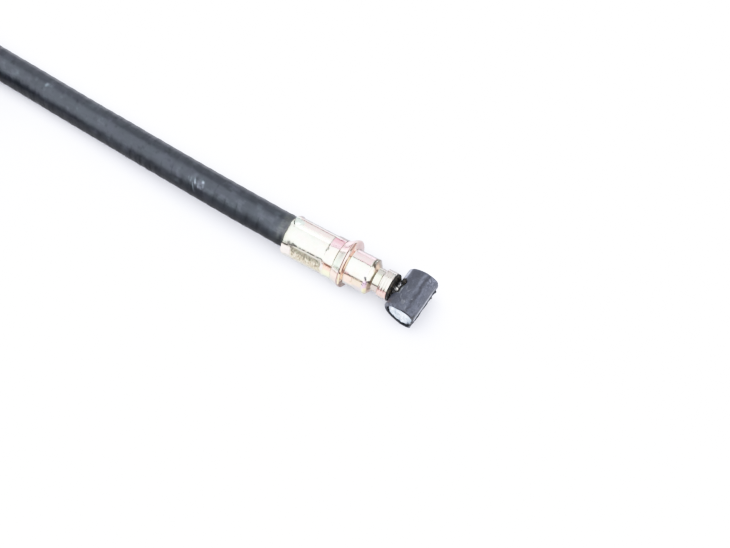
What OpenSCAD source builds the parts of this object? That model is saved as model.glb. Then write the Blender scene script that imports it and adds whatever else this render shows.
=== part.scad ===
// Bowden control cable: inner wire in a wound, sheathed conduit. Lever end with a crimped
// stepped ferrule and a bushed barrel nipple, far end with a threaded adjuster.
// Millimetres, +Z up. The cable axis at the lever end is the X axis, the nipple points to +X,
// and the origin is the centre of the ferrule's seat face, where the spigot begins.

/* [Conduit] */
// Outside diameter of the conduit sheath
sheath_d = 8.3; // [8.2:0.05:8.4]
// Outside diameter of the flat-wire winding under the sheath
winding_d = 6.6; // [6.4:0.1:6.7]
// Outside diameter of the liner tube
liner_d = 4.2; // [4.1:0.05:4.25]
// Inside diameter of the liner tube
liner_bore = 3.1; // [3.0:0.05:3.2]
// How far the sheath sits off the ferrule's axis after crimping
sheath_offset = 0.45; // [0:0.05:0.45]

/* [Inner wire] */
// Diameter of the stranded inner wire
wire_d = 2.5; // [2.0:0.1:2.5]
// Length of inner wire that can be drawn out at the lever end
wire_travel = 20; // [5:1:20]

/* [Lever ferrule] */
// Length of the crimped socket and collar behind the seat face
ferrule_back = 17.2; // [16.5:0.1:18]
// Diameter of the round collar in front of the crimp
collar_d = 10.4; // [10.2:0.1:10.6]
// Diameter of the flange
flange_d = 12.2; // [12.2:0.1:12.6]
// Diameter of the spigot
spigot_d = 9; // [8.8:0.1:9.2]
// Length of the spigot's full diameter
spigot_len = 5.6; // [5:0.1:5.8]
// Diameter of the neck
neck_d = 6; // [5.8:0.1:6.4]
// Diameter of the ribbed end collar
end_d = 7.2; // [6.8:0.1:7.4]
// Where the end collar's front face is
end_x = 11.4; // [11:0.1:11.4]

/* [Barrel nipple] */
// Distance from the seat face to the barrel's axis
barrel_x = 16.25; // [16.25:0.05:17]
// How far the barrel is turned about Z, as it hangs on the wire
barrel_yaw = 2.3; // [0:0.1:2.5]
// Outside diameter of the barrel with its bush
barrel_d = 8; // [8:0.1:8.2]
// Length of the barrel
barrel_len = 12.2; // [10:0.1:12.5]
// Diameter of the cast core
core_d = 7; // [6.4:0.1:7]
// Half height of the wire window in the bush
window_h = 3.2; // [2.2:0.1:3.2]

/* [Adjuster] */
// Outside diameter of the adjuster thread
thread_d = 8; // [7.8:0.1:8]
// Pitch of the adjuster thread
thread_pitch = 1.25; // [1:0.25:1.5]
// Length of the threaded part
thread_len = 28; // [28:1:30]
// Width across the flats of the nuts
nut_af = 13; // [12:0.5:13]
// Thickness of each nut
nut_t = 5; // [4:0.5:5]
// Diameter of each washer
washer_d = 12.8; // [12:0.2:12.8]

/* [Coil] */
// Radius of the outer turns' centre line
coil_outer = 48.7; // [48.7:0.1:49.2]
// Distance between neighbouring turns
turn_step = 8.4; // [8.4:0.1:8.6]

/* [Hidden] */
$fn = 64;
fit = 0.05;
floor_z = -flange_d / 2;
sheath_in = 13;
straight = 32;

// Route of the conduit from the ferrule's straight end to the top of the coil
lever_route = [
    [-32, 0.45, 0], [-45, 1.4, -0.15], [-57, 2.2, -0.65], [-70, 3.2, -1.3],
    [-84, 4.2, -1.8], [-98, 5.1, -1.95], [-112, 6, -1.95], [-120, 6.4, -1.45],
    [-126, 6.7, -0.05], [-132, 6.9, 2.25], [-138, 7.1, 4.6], [-144, 7.2, 6],
    [-150, 7.2, 6.45], [-162, 7.2, 6.45]
];
// Route of the conduit from the coil's lowest side to the adjuster
far_y = -90.2;
far_z = 0.4;
far_route = [
    [-162, -90.2, -1.95], [-155, -90.2, -1.7], [-149, -90.2, -0.8], [-143, -90.2, 0.15],
    [-138, -90.2, 0.4]
];
coil_x = -162;
coil_y = -41.5;

// Far end stations along X
socket_x0 = -136;
socket_x1 = -122;
thread_x0 = -121;
thread_x1 = thread_x0 + thread_len;
nose_x1 = thread_x1 + 5;
boot_x0 = thread_x1 + 0.3;
boot_x1 = thread_x1 + 9;
far_wire_x0 = wire_travel - 128;
lever_wire_x0 = -10 - wire_travel;
nipple_x0 = -58;
nipple_x1 = -50;
nipple_d = 6.5;

function unit(v) = v / norm(v);
function tangent(p, i) =
    unit(p[min(i + 1, len(p) - 1)] - p[max(i - 1, 0)]);
function ends_square(p, i, n) = (i == 0 || i == n - 1) ? [p[1][0] > p[0][0] ? 1 : -1, 0, 0] : tangent(p, i);

// A round tube swept along route p, its two ends square to X
module swept(p, r, sides = 10) {
    n = len(p);
    pts = [
        for (i = [0:n - 1])
            let (t = ends_square(p, i, n), s = unit(cross([0, 0, 1], t)), u = cross(t, s))
                for (k = [0:sides - 1])
                    p[i] + r * (cos(360 * k / sides) * s + sin(360 * k / sides) * u)
    ];
    walls = [
        for (i = [0:n - 2])
            for (k = [0:sides - 1])
                [i * sides + k, (i + 1) * sides + k, (i + 1) * sides + (k + 1) % sides, i * sides + (k + 1) % sides]
    ];
    caps = [
        [for (k = [0:sides - 1]) k],
        [for (k = [sides - 1:-1:0]) (n - 1) * sides + k]
    ];
    polyhedron(points = pts, faces = concat(walls, caps), convexity = 6);
}

// A straight round bar from x0 to x1 with its axis at y, z
module bar(x0, x1, d, y = 0, z = 0) {
    translate([x0, y, z]) rotate([0, 90, 0]) cylinder(h = x1 - x0, d = d);
}

// A turned shape: pts are [x, radius] pairs
module turned(pts, y = 0, z = 0) {
    translate([0, y, z]) rotate([0, 90, 0])
        rotate_extrude() polygon([for (q = pts) [q[1], q[0]]]);
}

// One jaw's arc of a four-jaw crimp: near is the distance from the axis at the jaw's middle
module jaw(x0, x1, angle, near, jaw_r) {
    rotate([angle, 0, 0]) translate([x0, 0, near - jaw_r]) rotate([0, 90, 0])
        cylinder(h = x1 - x0, r = jaw_r);
}

module crimp(x0, x1, angles, near, jaw_r, r) {
    intersection() {
        bar(x0, x1, 2 * r);
        jaw(x0 - 1, x1 + 1, angles[0], near, jaw_r);
        jaw(x0 - 1, x1 + 1, angles[1], near, jaw_r);
        jaw(x0 - 1, x1 + 1, angles[2], near, jaw_r);
        jaw(x0 - 1, x1 + 1, angles[3], near, jaw_r);
    }
}

module lever_ferrule() {
    cr = collar_d / 2;
    fr = flange_d / 2;
    sr = spigot_d / 2;
    nr = neck_d / 2;
    er = end_d / 2;
    color([0.87, 0.79, 0.6]) difference() {
        union() {
            turned([[-ferrule_back, 0], [-ferrule_back, cr - 0.15], [-ferrule_back + 0.25, cr + 0.05],
                    [-ferrule_back + 0.8, cr + 0.05], [-ferrule_back + 1.2, cr - 0.3], [-ferrule_back + 1.2, 0]]);
            crimp(-ferrule_back + 0.9, -5.9, [-72.1, 7.5, 87.3, 187.6], cr - 0.2, 6.7, cr + 0.1);
            turned([[-6.2, 0], [-6.2, cr - 0.3], [-5.5, cr], [-3, cr], [-0.85, fr - 0.15], [-0.7, fr],
                    [-0.2, fr], [0, fr - 0.25], [0, sr], [spigot_len - 0.3, sr], [spigot_len, sr + 0.08],
                    [spigot_len + 0.35, sr + 0.05], [spigot_len + 1.3, nr + 0.25], [spigot_len + 1.3, nr],
                    [end_x - 2.6, nr], [end_x - 2.45, er], [end_x - 2.1, er], [end_x - 2, er - 0.22],
                    [end_x - 1.85, er - 0.22], [end_x - 1.75, er], [end_x - 1.45, er], [end_x - 1.35, er - 0.22],
                    [end_x - 1.2, er - 0.22], [end_x - 1.1, er], [end_x - 0.8, er], [end_x - 0.7, er - 0.22],
                    [end_x - 0.55, er - 0.22], [end_x - 0.45, er], [end_x - 0.1, er], [end_x, er - 0.12],
                    [end_x, 0]]);
        }
        // socket for the sheath, a little off the axis as crimped
        bar(-ferrule_back - 1, -ferrule_back + sheath_in + 0.2, sheath_d + 2 * fit, sheath_offset);
        // way for the liner and the inner wire
        bar(-10, end_x + 1, liner_d + 2 * fit + 0.1);
        // seat of the mouth bush
        bar(end_x - 2.8, end_x + 1, 4.9);
    }
}

module mouth_bush() {
    color([0.07, 0.07, 0.07]) difference() {
        turned([[end_x - 2.7, 0], [end_x - 2.7, 2.4], [end_x + 0.02, 2.4], [end_x + 0.02, end_d / 2 - 0.1],
                [end_x + 0.45, end_d / 2 - 0.1], [end_x + 0.68, end_d / 2 - 0.6], [end_x + 0.68, 0]]);
        bar(end_x - 4, end_x + 2, 3.2);
    }
}

module lever_inner_wire() {
    color([0.72, 0.73, 0.75]) bar(lever_wire_x0, barrel_x + 1.5, wire_d);
}

module barrel_core() {
    color([0.8, 0.82, 0.85]) difference() {
        translate([barrel_x, 0, 0]) rotate([90, 0, -barrel_yaw])
            cylinder(h = barrel_len - 0.6, d = core_d, center = true);
        bar(barrel_x - 6, barrel_x + 1.5, wire_d);
    }
}

module barrel_bush() {
    h = barrel_len / 2;
    r = barrel_d / 2;
    b = core_d / 2 + fit;
    color([0.16, 0.17, 0.2]) difference() {
        translate([barrel_x, 0, 0]) rotate([90, 0, -barrel_yaw]) rotate_extrude()
            polygon([[b, -h + 0.1], [b + 0.1, -h], [r - 0.25, -h], [r, -h + 0.25],
                     [r, h - 0.25], [r - 0.25, h], [b + 0.1, h], [b, h - 0.1]]);
        translate([barrel_x, 0, 0]) rotate([0, 0, -barrel_yaw]) translate([-3, 0, 0])
            cube([5, 3.8, 2 * window_h], center = true);
    }
}

module ring_bar(x0, x1, d, bore, y, z, bore_y) {
    difference() {
        bar(x0, x1, d, y, z);
        bar(x0 - 1, x1 + 1, bore, bore_y, z);
    }
}

module lever_sheath_end() {
    color([0.12, 0.13, 0.15])
        ring_bar(-straight, -ferrule_back + sheath_in, sheath_d, winding_d + 2 * fit, sheath_offset, 0, 0);
}

module lever_winding_end() {
    color([0.55, 0.56, 0.58])
        ring_bar(-straight, -ferrule_back + sheath_in, winding_d, liner_d + 2 * fit, 0, 0, 0);
}

module lever_liner() {
    color([0.9, 0.9, 0.86]) ring_bar(-straight, end_x - 3, liner_d, liner_bore, 0, 0, 0);
}

module conduit_lever_stretch() {
    color([0.12, 0.13, 0.15]) swept(lever_route, sheath_d / 2);
}

module conduit_far_stretch() {
    color([0.12, 0.13, 0.15]) swept(far_route, sheath_d / 2);
}

// Outer shape of the coiled conduit, two turns wide and two turns high
module conduit_coil() {
    ro = coil_outer + sheath_d / 2 + 0.1;
    ri = coil_outer - turn_step - sheath_d / 2 - 0.1;
    h = turn_step + sheath_d + 0.15;
    c = 2.4;
    color([0.12, 0.13, 0.15]) difference() {
        translate([coil_x, coil_y, floor_z]) rotate_extrude($fn = 96)
            polygon([[ri + c, 0], [ro - c, 0], [ro, c], [ro, h - c], [ro - c, h], [ri + c, h], [ri, h - c], [ri, c]]);
        // way for the tie's lower run
        translate([coil_x - coil_outer, coil_y, floor_z]) cube([40, 6, 2.8], center = true);
        // room beside the lowest turn for the adjuster and the sheath in it
        translate([-138.2, far_y - 8, floor_z - 1]) cube([30, 13.8, far_z - floor_z + 6.8]);
    }
}

module far_sheath_end() {
    color([0.12, 0.13, 0.15]) ring_bar(-138, socket_x1, sheath_d, winding_d + 2 * fit, far_y, far_z, far_y);
}

module far_winding_end() {
    color([0.55, 0.56, 0.58]) ring_bar(-138, socket_x1, winding_d, liner_d + 2 * fit, far_y, far_z, far_y);
}

module far_liner() {
    color([0.9, 0.9, 0.86]) ring_bar(-138, nose_x1 - 0.5, liner_d, liner_bore, far_y, far_z, far_y);
}

// Thread crests, one ring to each pitch
module threads(x0, x1, tr) {
    n = floor((x1 - x0 - 0.6) / thread_pitch);
    turned(concat(
        [[x0, 0]],
        [for (i = [0:n - 1]) each [[x0 + i * thread_pitch, tr - 0.6 * thread_pitch],
            [x0 + (i + 0.45) * thread_pitch, tr], [x0 + (i + 0.55) * thread_pitch, tr]]],
        [[x0 + n * thread_pitch, tr - 0.6 * thread_pitch], [x0 + n * thread_pitch, 0]]
    ));
}

module adjuster_tube() {
    tr = thread_d / 2;
    root = tr - 0.6 * thread_pitch;
    color([0.87, 0.79, 0.6]) difference() {
        translate([0, far_y, far_z]) union() {
            crimp(socket_x0, socket_x1 - 0.6, [0, 90, 180, 270], 4.95, 6.7, 5.3);
            turned([[socket_x1 - 0.8, 0], [socket_x1 - 0.8, 5.2], [socket_x1 - 0.2, 5.35], [thread_x0 - 0.6, 5.35],
                    [thread_x0 - 0.3, 5], [thread_x0 - 0.3, tr - 0.4], [thread_x0 + 0.6, tr - 0.4],
                    [thread_x0 + 1, root], [thread_x1, root], [thread_x1, 3.2],
                    [nose_x1 - 0.4, 3.2], [nose_x1, 2.9], [nose_x1, 0]]);
            threads(thread_x0 + 1, thread_x1, tr);
        }
        bar(socket_x0 - 1, socket_x1 + 0.2, sheath_d + 2 * fit, far_y, far_z);
        bar(socket_x1 - 1, nose_x1 + 1, liner_d + 2 * fit, far_y, far_z);
    }
}

module lock_nut(x0) {
    translate([x0, far_y, far_z]) rotate([0, 90, 0]) difference() {
        intersection() {
            rotate([0, 0, 30]) cylinder(h = nut_t, d = nut_af / cos(30), $fn = 6);
            rotate_extrude() polygon([[0, 0], [nut_af / 2 - 0.1, 0], [nut_af / 2 + 1.1, 0.7], [nut_af / 2 + 1.1, nut_t - 0.7],
                                      [nut_af / 2 - 0.1, nut_t], [0, nut_t]]);
        }
        translate([0, 0, -1]) cylinder(h = nut_t + 2, d = thread_d + 0.12);
    }
}

module washer(x0) {
    translate([x0, far_y, far_z]) rotate([0, 90, 0]) difference() {
        cylinder(h = 1.2, d = washer_d);
        translate([0, 0, -1]) cylinder(h = 4, d = thread_d + 0.4);
    }
}

module inner_lock_nut() { color([0.86, 0.78, 0.58]) lock_nut(-117); }
module inner_washer() { color([0.84, 0.77, 0.6]) washer(-117 + nut_t + 0.02); }
module outer_washer() { color([0.84, 0.77, 0.6]) washer(-104); }
module outer_lock_nut() { color([0.86, 0.78, 0.58]) lock_nut(-104 + 1.22); }

module dust_boot() {
    color([0.08, 0.08, 0.08]) difference() {
        turned([[boot_x0, 0], [boot_x0, 4.2], [boot_x0 + 0.4, 4.6], [boot_x0 + 1.4, 4.6], [boot_x0 + 1.9, 4],
                [boot_x0 + 2.4, 4], [boot_x0 + 2.9, 4.4], [boot_x0 + 3.7, 4.4], [boot_x0 + 4.2, 3.8],
                [boot_x0 + 4.7, 3.7], [boot_x0 + 5.2, 4], [boot_x0 + 6, 3.9], [boot_x0 + 6.6, 3],
                [boot_x1 - 0.5, 2.5], [boot_x1, 2.2], [boot_x1, 0]], far_y, far_z);
        bar(boot_x0 - 1, nose_x1 + 0.1, 6.5, far_y, far_z);
        bar(boot_x0, boot_x1 + 1, 3.1, far_y, far_z);
    }
}

module far_inner_wire() {
    color([0.72, 0.73, 0.75]) bar(far_wire_x0, nipple_x1 - 1, wire_d, far_y, far_z);
}

module far_nipple() {
    color([0.8, 0.82, 0.85]) difference() {
        turned([[nipple_x0, 0], [nipple_x0, nipple_d / 2 - 0.5], [nipple_x0 + 0.5, nipple_d / 2],
                [nipple_x1 - 0.5, nipple_d / 2], [nipple_x1, nipple_d / 2 - 0.5], [nipple_x1, 0]], far_y, far_z);
        bar(nipple_x0 - 1, nipple_x1 - 1, wire_d, far_y, far_z);
    }
}

// Strap tie around the coil's four turns, its head on the outside
module coil_tie() {
    w = turn_step + sheath_d + 0.9;
    x = coil_x - coil_outer + turn_step / 2;
    z = floor_z + 1.2;
    color([0.1, 0.1, 0.1]) translate([x, coil_y, z]) {
        difference() {
            translate([-w / 2 - 1.2, -2.4, -1.2]) cube([w + 2.4, 4.8, w + 2.4]);
            translate([-w / 2, -3, 0]) cube([w, 6, w]);
        }
        translate([-w / 2 - 3.8, -3.5, w / 2 - 3]) cube([3.6, 7, 6]);
    }
}

lever_ferrule();
mouth_bush();
lever_inner_wire();
barrel_core();
barrel_bush();
lever_sheath_end();
lever_winding_end();
lever_liner();
conduit_lever_stretch();
conduit_coil();
conduit_far_stretch();
far_sheath_end();
far_winding_end();
far_liner();
adjuster_tube();
inner_lock_nut();
inner_washer();
outer_lock_nut();
outer_washer();
dust_boot();
far_inner_wire();
far_nipple();
coil_tie();
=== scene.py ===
"""Looks of the control cable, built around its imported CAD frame. Lengths in this file are in millimetres until build() scales them to metres."""
import math

import bpy
import numpy as np
from mathutils import Matrix, Vector


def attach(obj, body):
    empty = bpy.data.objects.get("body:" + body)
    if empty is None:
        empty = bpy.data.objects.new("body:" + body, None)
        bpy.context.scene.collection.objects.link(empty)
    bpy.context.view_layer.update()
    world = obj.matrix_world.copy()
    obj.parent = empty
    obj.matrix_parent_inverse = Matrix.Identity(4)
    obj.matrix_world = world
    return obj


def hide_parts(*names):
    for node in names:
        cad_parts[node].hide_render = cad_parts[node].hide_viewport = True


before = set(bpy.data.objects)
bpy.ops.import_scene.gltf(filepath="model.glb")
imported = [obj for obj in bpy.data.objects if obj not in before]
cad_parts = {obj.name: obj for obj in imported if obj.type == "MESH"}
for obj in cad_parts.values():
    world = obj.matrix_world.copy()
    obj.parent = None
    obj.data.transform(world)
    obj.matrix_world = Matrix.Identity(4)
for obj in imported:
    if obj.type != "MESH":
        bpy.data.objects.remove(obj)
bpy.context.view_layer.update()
scene = bpy.context.scene
FLOOR_Z = -6.1

# ---------------------------------------------------------------- camera
AZ, EL = math.radians(30.7207), math.radians(61.4021)
back = Vector((math.sin(AZ) * math.cos(EL), -math.cos(AZ) * math.cos(EL), math.sin(EL)))
right = Vector((math.cos(AZ), math.sin(AZ), 0))
up = back.cross(right)
cam = bpy.data.objects.new("camera", bpy.data.cameras.new("camera"))
scene.collection.objects.link(cam)
turn = Matrix((right, up, back)).transposed().to_4x4()
cam.matrix_world = Matrix.Translation((0.07481527, -0.11956508, 0.25461686)) @ turn
cam.data.sensor_width = 36.0
cam.data.lens = 60.41
cam.data.clip_start = 0.005
cam.data.clip_end = 20
scene.camera = cam


# ---------------------------------------------------------------- numbers
def sm(a, b, x):
    t = np.clip((np.asarray(x, float) - a) / (b - a), 0, 1)
    return t * t * (3 - 2 * t)


def bell(x, c, w):
    return np.exp(-(((np.asarray(x, float) - c) / w) ** 2))


def band(x, a, b, soft):
    return sm(a - soft, a + soft, x) * (1 - sm(b - soft, b + soft, x))


def wrap(deg):
    return (np.asarray(deg, float) + 180) % 360 - 180


def stroke(x, arc, points, width):
    """Nearness of each place to a drawn line on the unrolled surface."""
    best = np.full(np.broadcast(x, arc).shape, 1e9)
    for (x0, a0), (x1, a1) in zip(points[:-1], points[1:]):
        dx, da = x1 - x0, a1 - a0
        k = np.clip(((x - x0) * dx + (arc - a0) * da) / (dx * dx + da * da), 0, 1)
        best = np.minimum(best, np.hypot(x - x0 - k * dx, arc - a0 - k * da))
    return np.exp(-((best / width) ** 2))


def lin(r, g, b):
    return tuple(c / 12.92 if c <= 0.04045 else ((c + 0.055) / 1.055) ** 2.4 for c in (r / 255, g / 255, b / 255))


_rng = np.random.default_rng(11)
_perm = np.tile(_rng.permutation(256), 2)
_grad = _rng.normal(size=(256, 3))
_grad /= np.linalg.norm(_grad, axis=1)[:, None]


def perlin(p):
    """Smooth noise from about -1 to 1 at each row of p."""
    p = np.asarray(p, float)
    cell = np.floor(p).astype(np.int64)
    f = p - cell
    u = f * f * f * (f * (f * 6 - 15) + 10)
    cell &= 255
    out = 0
    for dx in (0, 1):
        for dy in (0, 1):
            for dz in (0, 1):
                h = _perm[_perm[_perm[(cell[..., 0] + dx) & 255] + ((cell[..., 1] + dy) & 255)] + ((cell[..., 2] + dz) & 255)]
                g = _grad[h]
                d = g[..., 0] * (f[..., 0] - dx) + g[..., 1] * (f[..., 1] - dy) + g[..., 2] * (f[..., 2] - dz)
                w = (u[..., 0] if dx else 1 - u[..., 0]) * (u[..., 1] if dy else 1 - u[..., 1]) * (u[..., 2] if dz else 1 - u[..., 2])
                out = out + w * d
    return out * 1.6


def fbm(p, octaves=3, seed=0.0):
    p = np.asarray(p, float) + seed * 17.31
    total, size = 0, 1.0
    for k in range(octaves):
        total = total + perlin(p * 2**k + 5.7 * k) * size
        size *= 0.5
    return total


# ---------------------------------------------------------------- meshes
def build(name, verts, faces, material, body, replaces=(), sharp=35, attrs=None, flip=None):
    """A mesh object from points in millimetres. Its faces are turned outward, and it rides on a body."""
    v = np.asarray(verts, float)
    if flip is None:
        vol = 0.0
        for f in faces:
            f = np.asarray(f)
            if f.ndim == 2:
                a = v[f[:, 0]]
                for k in range(1, f.shape[1] - 1):
                    vol += float((a * np.cross(v[f[:, k]], v[f[:, k + 1]])).sum())
        flip = vol < 0
    rows = []
    for f in faces:
        f = np.asarray(f)
        rows += (f[:, ::-1] if flip else f).tolist()
    me = bpy.data.meshes.new(name)
    me.from_pydata((v * 0.001).tolist(), [], rows)
    me.validate()
    me.polygons.foreach_set("use_smooth", [True] * len(me.polygons))
    if sharp:
        me.set_sharp_from_angle(angle=math.radians(sharp))
    for key, values in (attrs or {}).items():
        values = np.asarray(values, np.float32)
        if values.ndim == 1:
            a = me.attributes.new(key, "FLOAT", "POINT")
            a.data.foreach_set("value", values)
        elif values.shape[1] == 4:
            a = me.attributes.new(key, "FLOAT_COLOR", "POINT")
            a.data.foreach_set("color", values.ravel())
        else:
            a = me.attributes.new(key, "FLOAT_VECTOR", "POINT")
            a.data.foreach_set("vector", values.ravel())
    me.materials.append(material)
    me.update()
    ob = bpy.data.objects.new(name, me)
    scene.collection.objects.link(ob)
    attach(ob, body)
    if replaces:
        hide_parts(*replaces)
    return ob


def quads(nu, nv, wrap_u=False, first=0):
    """Faces of a grid of nu rings of nv points, closed around v."""
    u = np.arange(nu if wrap_u else nu - 1)[:, None]
    w = np.arange(nv)[None, :]
    a, b = u * nv + w, u * nv + (w + 1) % nv
    c, d = (u + 1) % nu * nv + (w + 1) % nv, (u + 1) % nu * nv + w
    return np.stack([a, b, c, d], -1).reshape(-1, 4) + first


def fans(nu, nv, start, end, first=0):
    """Triangles from the centre points with indices start and end to the first and last ring."""
    k = np.arange(nv)
    j = (k + 1) % nv
    a = np.stack([np.full(nv, start), j, k], -1)
    a[:, 1:] += first
    b = np.stack([np.full(nv, end), k, j], -1)
    b[:, 1:] += first + (nu - 1) * nv
    return np.concatenate([a, b])


def around(x, r, phi, cy=0.0, cz=0.0):
    """Points of a shape turned about the X axis; phi is in degrees from +Z towards -Y."""
    p = np.radians(phi)
    x, r, p = np.broadcast_arrays(x, r, p)
    return np.stack([x, cy - r * np.sin(p), cz + r * np.cos(p)], -1)


def along(*parts):
    """Stations from (start, end, step) runs and single numbers, without repeats."""
    out = []
    for p in parts:
        if isinstance(p, tuple):
            a, b, step = p
            out += list(np.linspace(a, b, max(2, int(round(abs(b - a) / step)) + 1)))
        else:
            out.append(float(p))
    keep = [out[0]]
    for x in out[1:]:
        if abs(x - keep[-1]) > 1e-6:
            keep.append(x)
    return np.array(keep)


def spline(points, step):
    """Points along a smooth curve through points, step apart; step may be a function of the length so far."""
    p = np.array(points, float)
    n = len(p)
    t = np.concatenate([[0], np.cumsum(np.linalg.norm(np.diff(p, axis=0), axis=1))])
    h = np.diff(t)
    a = np.zeros((n, n))
    rhs = np.zeros((n, 3))
    a[0, 0] = a[-1, -1] = 1
    for i in range(1, n - 1):
        a[i, i - 1], a[i, i], a[i, i + 1] = h[i - 1], 2 * (h[i - 1] + h[i]), h[i]
        rhs[i] = 6 * ((p[i + 1] - p[i]) / h[i] - (p[i] - p[i - 1]) / h[i - 1])
    m = np.linalg.solve(a, rhs)
    s, marks = 0.0, []
    while s < t[-1]:
        marks.append(s)
        s += step(s) if callable(step) else step
    if t[-1] - marks[-1] < 0.3 * (step(s) if callable(step) else step):
        marks.pop()
    marks.append(t[-1])
    s = np.array(marks)
    i = np.clip(np.searchsorted(t, s, "right") - 1, 0, n - 2)
    left, rest = (s - t[i])[:, None], (t[i + 1] - s)[:, None]
    hh = h[i][:, None]
    return (m[i] * rest**3 + m[i + 1] * left**3) / (6 * hh) + (p[i] / hh - m[i] * hh / 6) * rest + (p[i + 1] / hh - m[i + 1] * hh / 6) * left


def frames(line):
    """Tangents and two normals carried along a line without twist. The first normal starts towards +Z."""
    t = np.gradient(line, axis=0)
    t /= np.linalg.norm(t, axis=1)[:, None]
    n = np.zeros_like(t)
    n[0] = np.array([0, 0, 1.0]) - t[0] * t[0][2]
    n[0] /= np.linalg.norm(n[0])
    for i in range(1, len(t)):
        v = n[i - 1] - t[i] * (n[i - 1] @ t[i])
        n[i] = v / np.linalg.norm(v)
    return t, n, np.cross(t, n)


# ---------------------------------------------------------------- materials
class Shader:
    """A material whose nodes are made in one line each."""

    def __init__(self, name):
        self.mat = bpy.data.materials.new(name)
        self.mat.use_nodes = True
        self.tree = self.mat.node_tree
        self.bsdf = self.tree.nodes["Principled BSDF"]

    def put(self, socket, value):
        if isinstance(value, bpy.types.NodeSocket):
            self.tree.links.new(value, socket)
        elif hasattr(value, "__len__") and socket.type == "RGBA" and len(value) == 3:
            socket.default_value = (*value, 1)
        else:
            socket.default_value = value

    def node(self, kind, props=None, **inputs):
        n = self.tree.nodes.new("ShaderNode" + kind)
        for k, v in (props or {}).items():
            setattr(n, k, v)
        for k, v in inputs.items():
            self.put(n.inputs[k.replace("_", " ")], v)
        return n

    def set(self, **inputs):
        for k, v in inputs.items():
            self.put(self.bsdf.inputs[k.replace("_", " ")], v)

    def attr(self, name, out="Vector"):
        return self.node("Attribute", {"attribute_name": name}).outputs[out]

    def mm(self, stretch=(1, 1, 1)):
        """Place on the object in millimetres, stretched by axis."""
        place = self.node("TexCoord").outputs["Object"]
        n = self.node("VectorMath", {"operation": "MULTIPLY"})
        self.put(n.inputs[0], place)
        n.inputs[1].default_value = tuple(1000 * s for s in stretch)
        return n.outputs[0]

    def scaled(self, vec, stretch):
        n = self.node("VectorMath", {"operation": "MULTIPLY"})
        self.put(n.inputs[0], vec)
        n.inputs[1].default_value = stretch
        return n.outputs[0]

    def noise(self, vec, scale, detail=3.0, rough=0.55, distortion=0.0):
        return self.node("TexNoise", Vector=vec, Scale=scale, Detail=detail, Roughness=rough, Distortion=distortion).outputs["Fac"]

    def cells(self, vec, scale, feature="F1", out="Distance"):
        return self.node("TexVoronoi", {"feature": feature}, Vector=vec, Scale=scale).outputs[out]

    def ramp(self, fac, *stops):
        n = self.node("ValToRGB", Fac=fac)
        r = n.color_ramp
        while len(r.elements) < len(stops):
            r.elements.new(0.5)
        for e, (at, colour) in zip(r.elements, stops):
            e.position = at
            e.color = (*colour, 1) if hasattr(colour, "__len__") else (colour, colour, colour, 1)
        return n.outputs["Color"]

    def level(self, fac, a, b, low=0.0, high=1.0):
        n = self.node("MapRange", {"clamp": True, "interpolation_type": "SMOOTHSTEP"})
        self.put(n.inputs["Value"], fac)
        for k, v in (("From Min", a), ("From Max", b), ("To Min", low), ("To Max", high)):
            n.inputs[k].default_value = v
        return n.outputs["Result"]

    def mix(self, fac, a, b, kind="MIX"):
        n = self.node("Mix", {"data_type": "RGBA", "blend_type": kind})
        self.put(n.inputs[0], fac)
        self.put(n.inputs[6], a)
        self.put(n.inputs[7], b)
        return n.outputs[2]

    def calc(self, op, a, b=0.0, c=0.0):
        n = self.node("Math", {"operation": op})
        for s, v in zip(n.inputs, (a, b, c)):
            self.put(s, v)
        return n.outputs[0]

    def split(self, vec):
        n = self.node("SeparateXYZ", Vector=vec)
        return n.outputs[0], n.outputs[1], n.outputs[2]

    def bump(self, height, strength, distance, normal=None):
        n = self.node("Bump", Height=height, Strength=strength, Distance=distance)
        if normal is not None:
            self.put(n.inputs["Normal"], normal)
        return n.outputs["Normal"]


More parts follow.
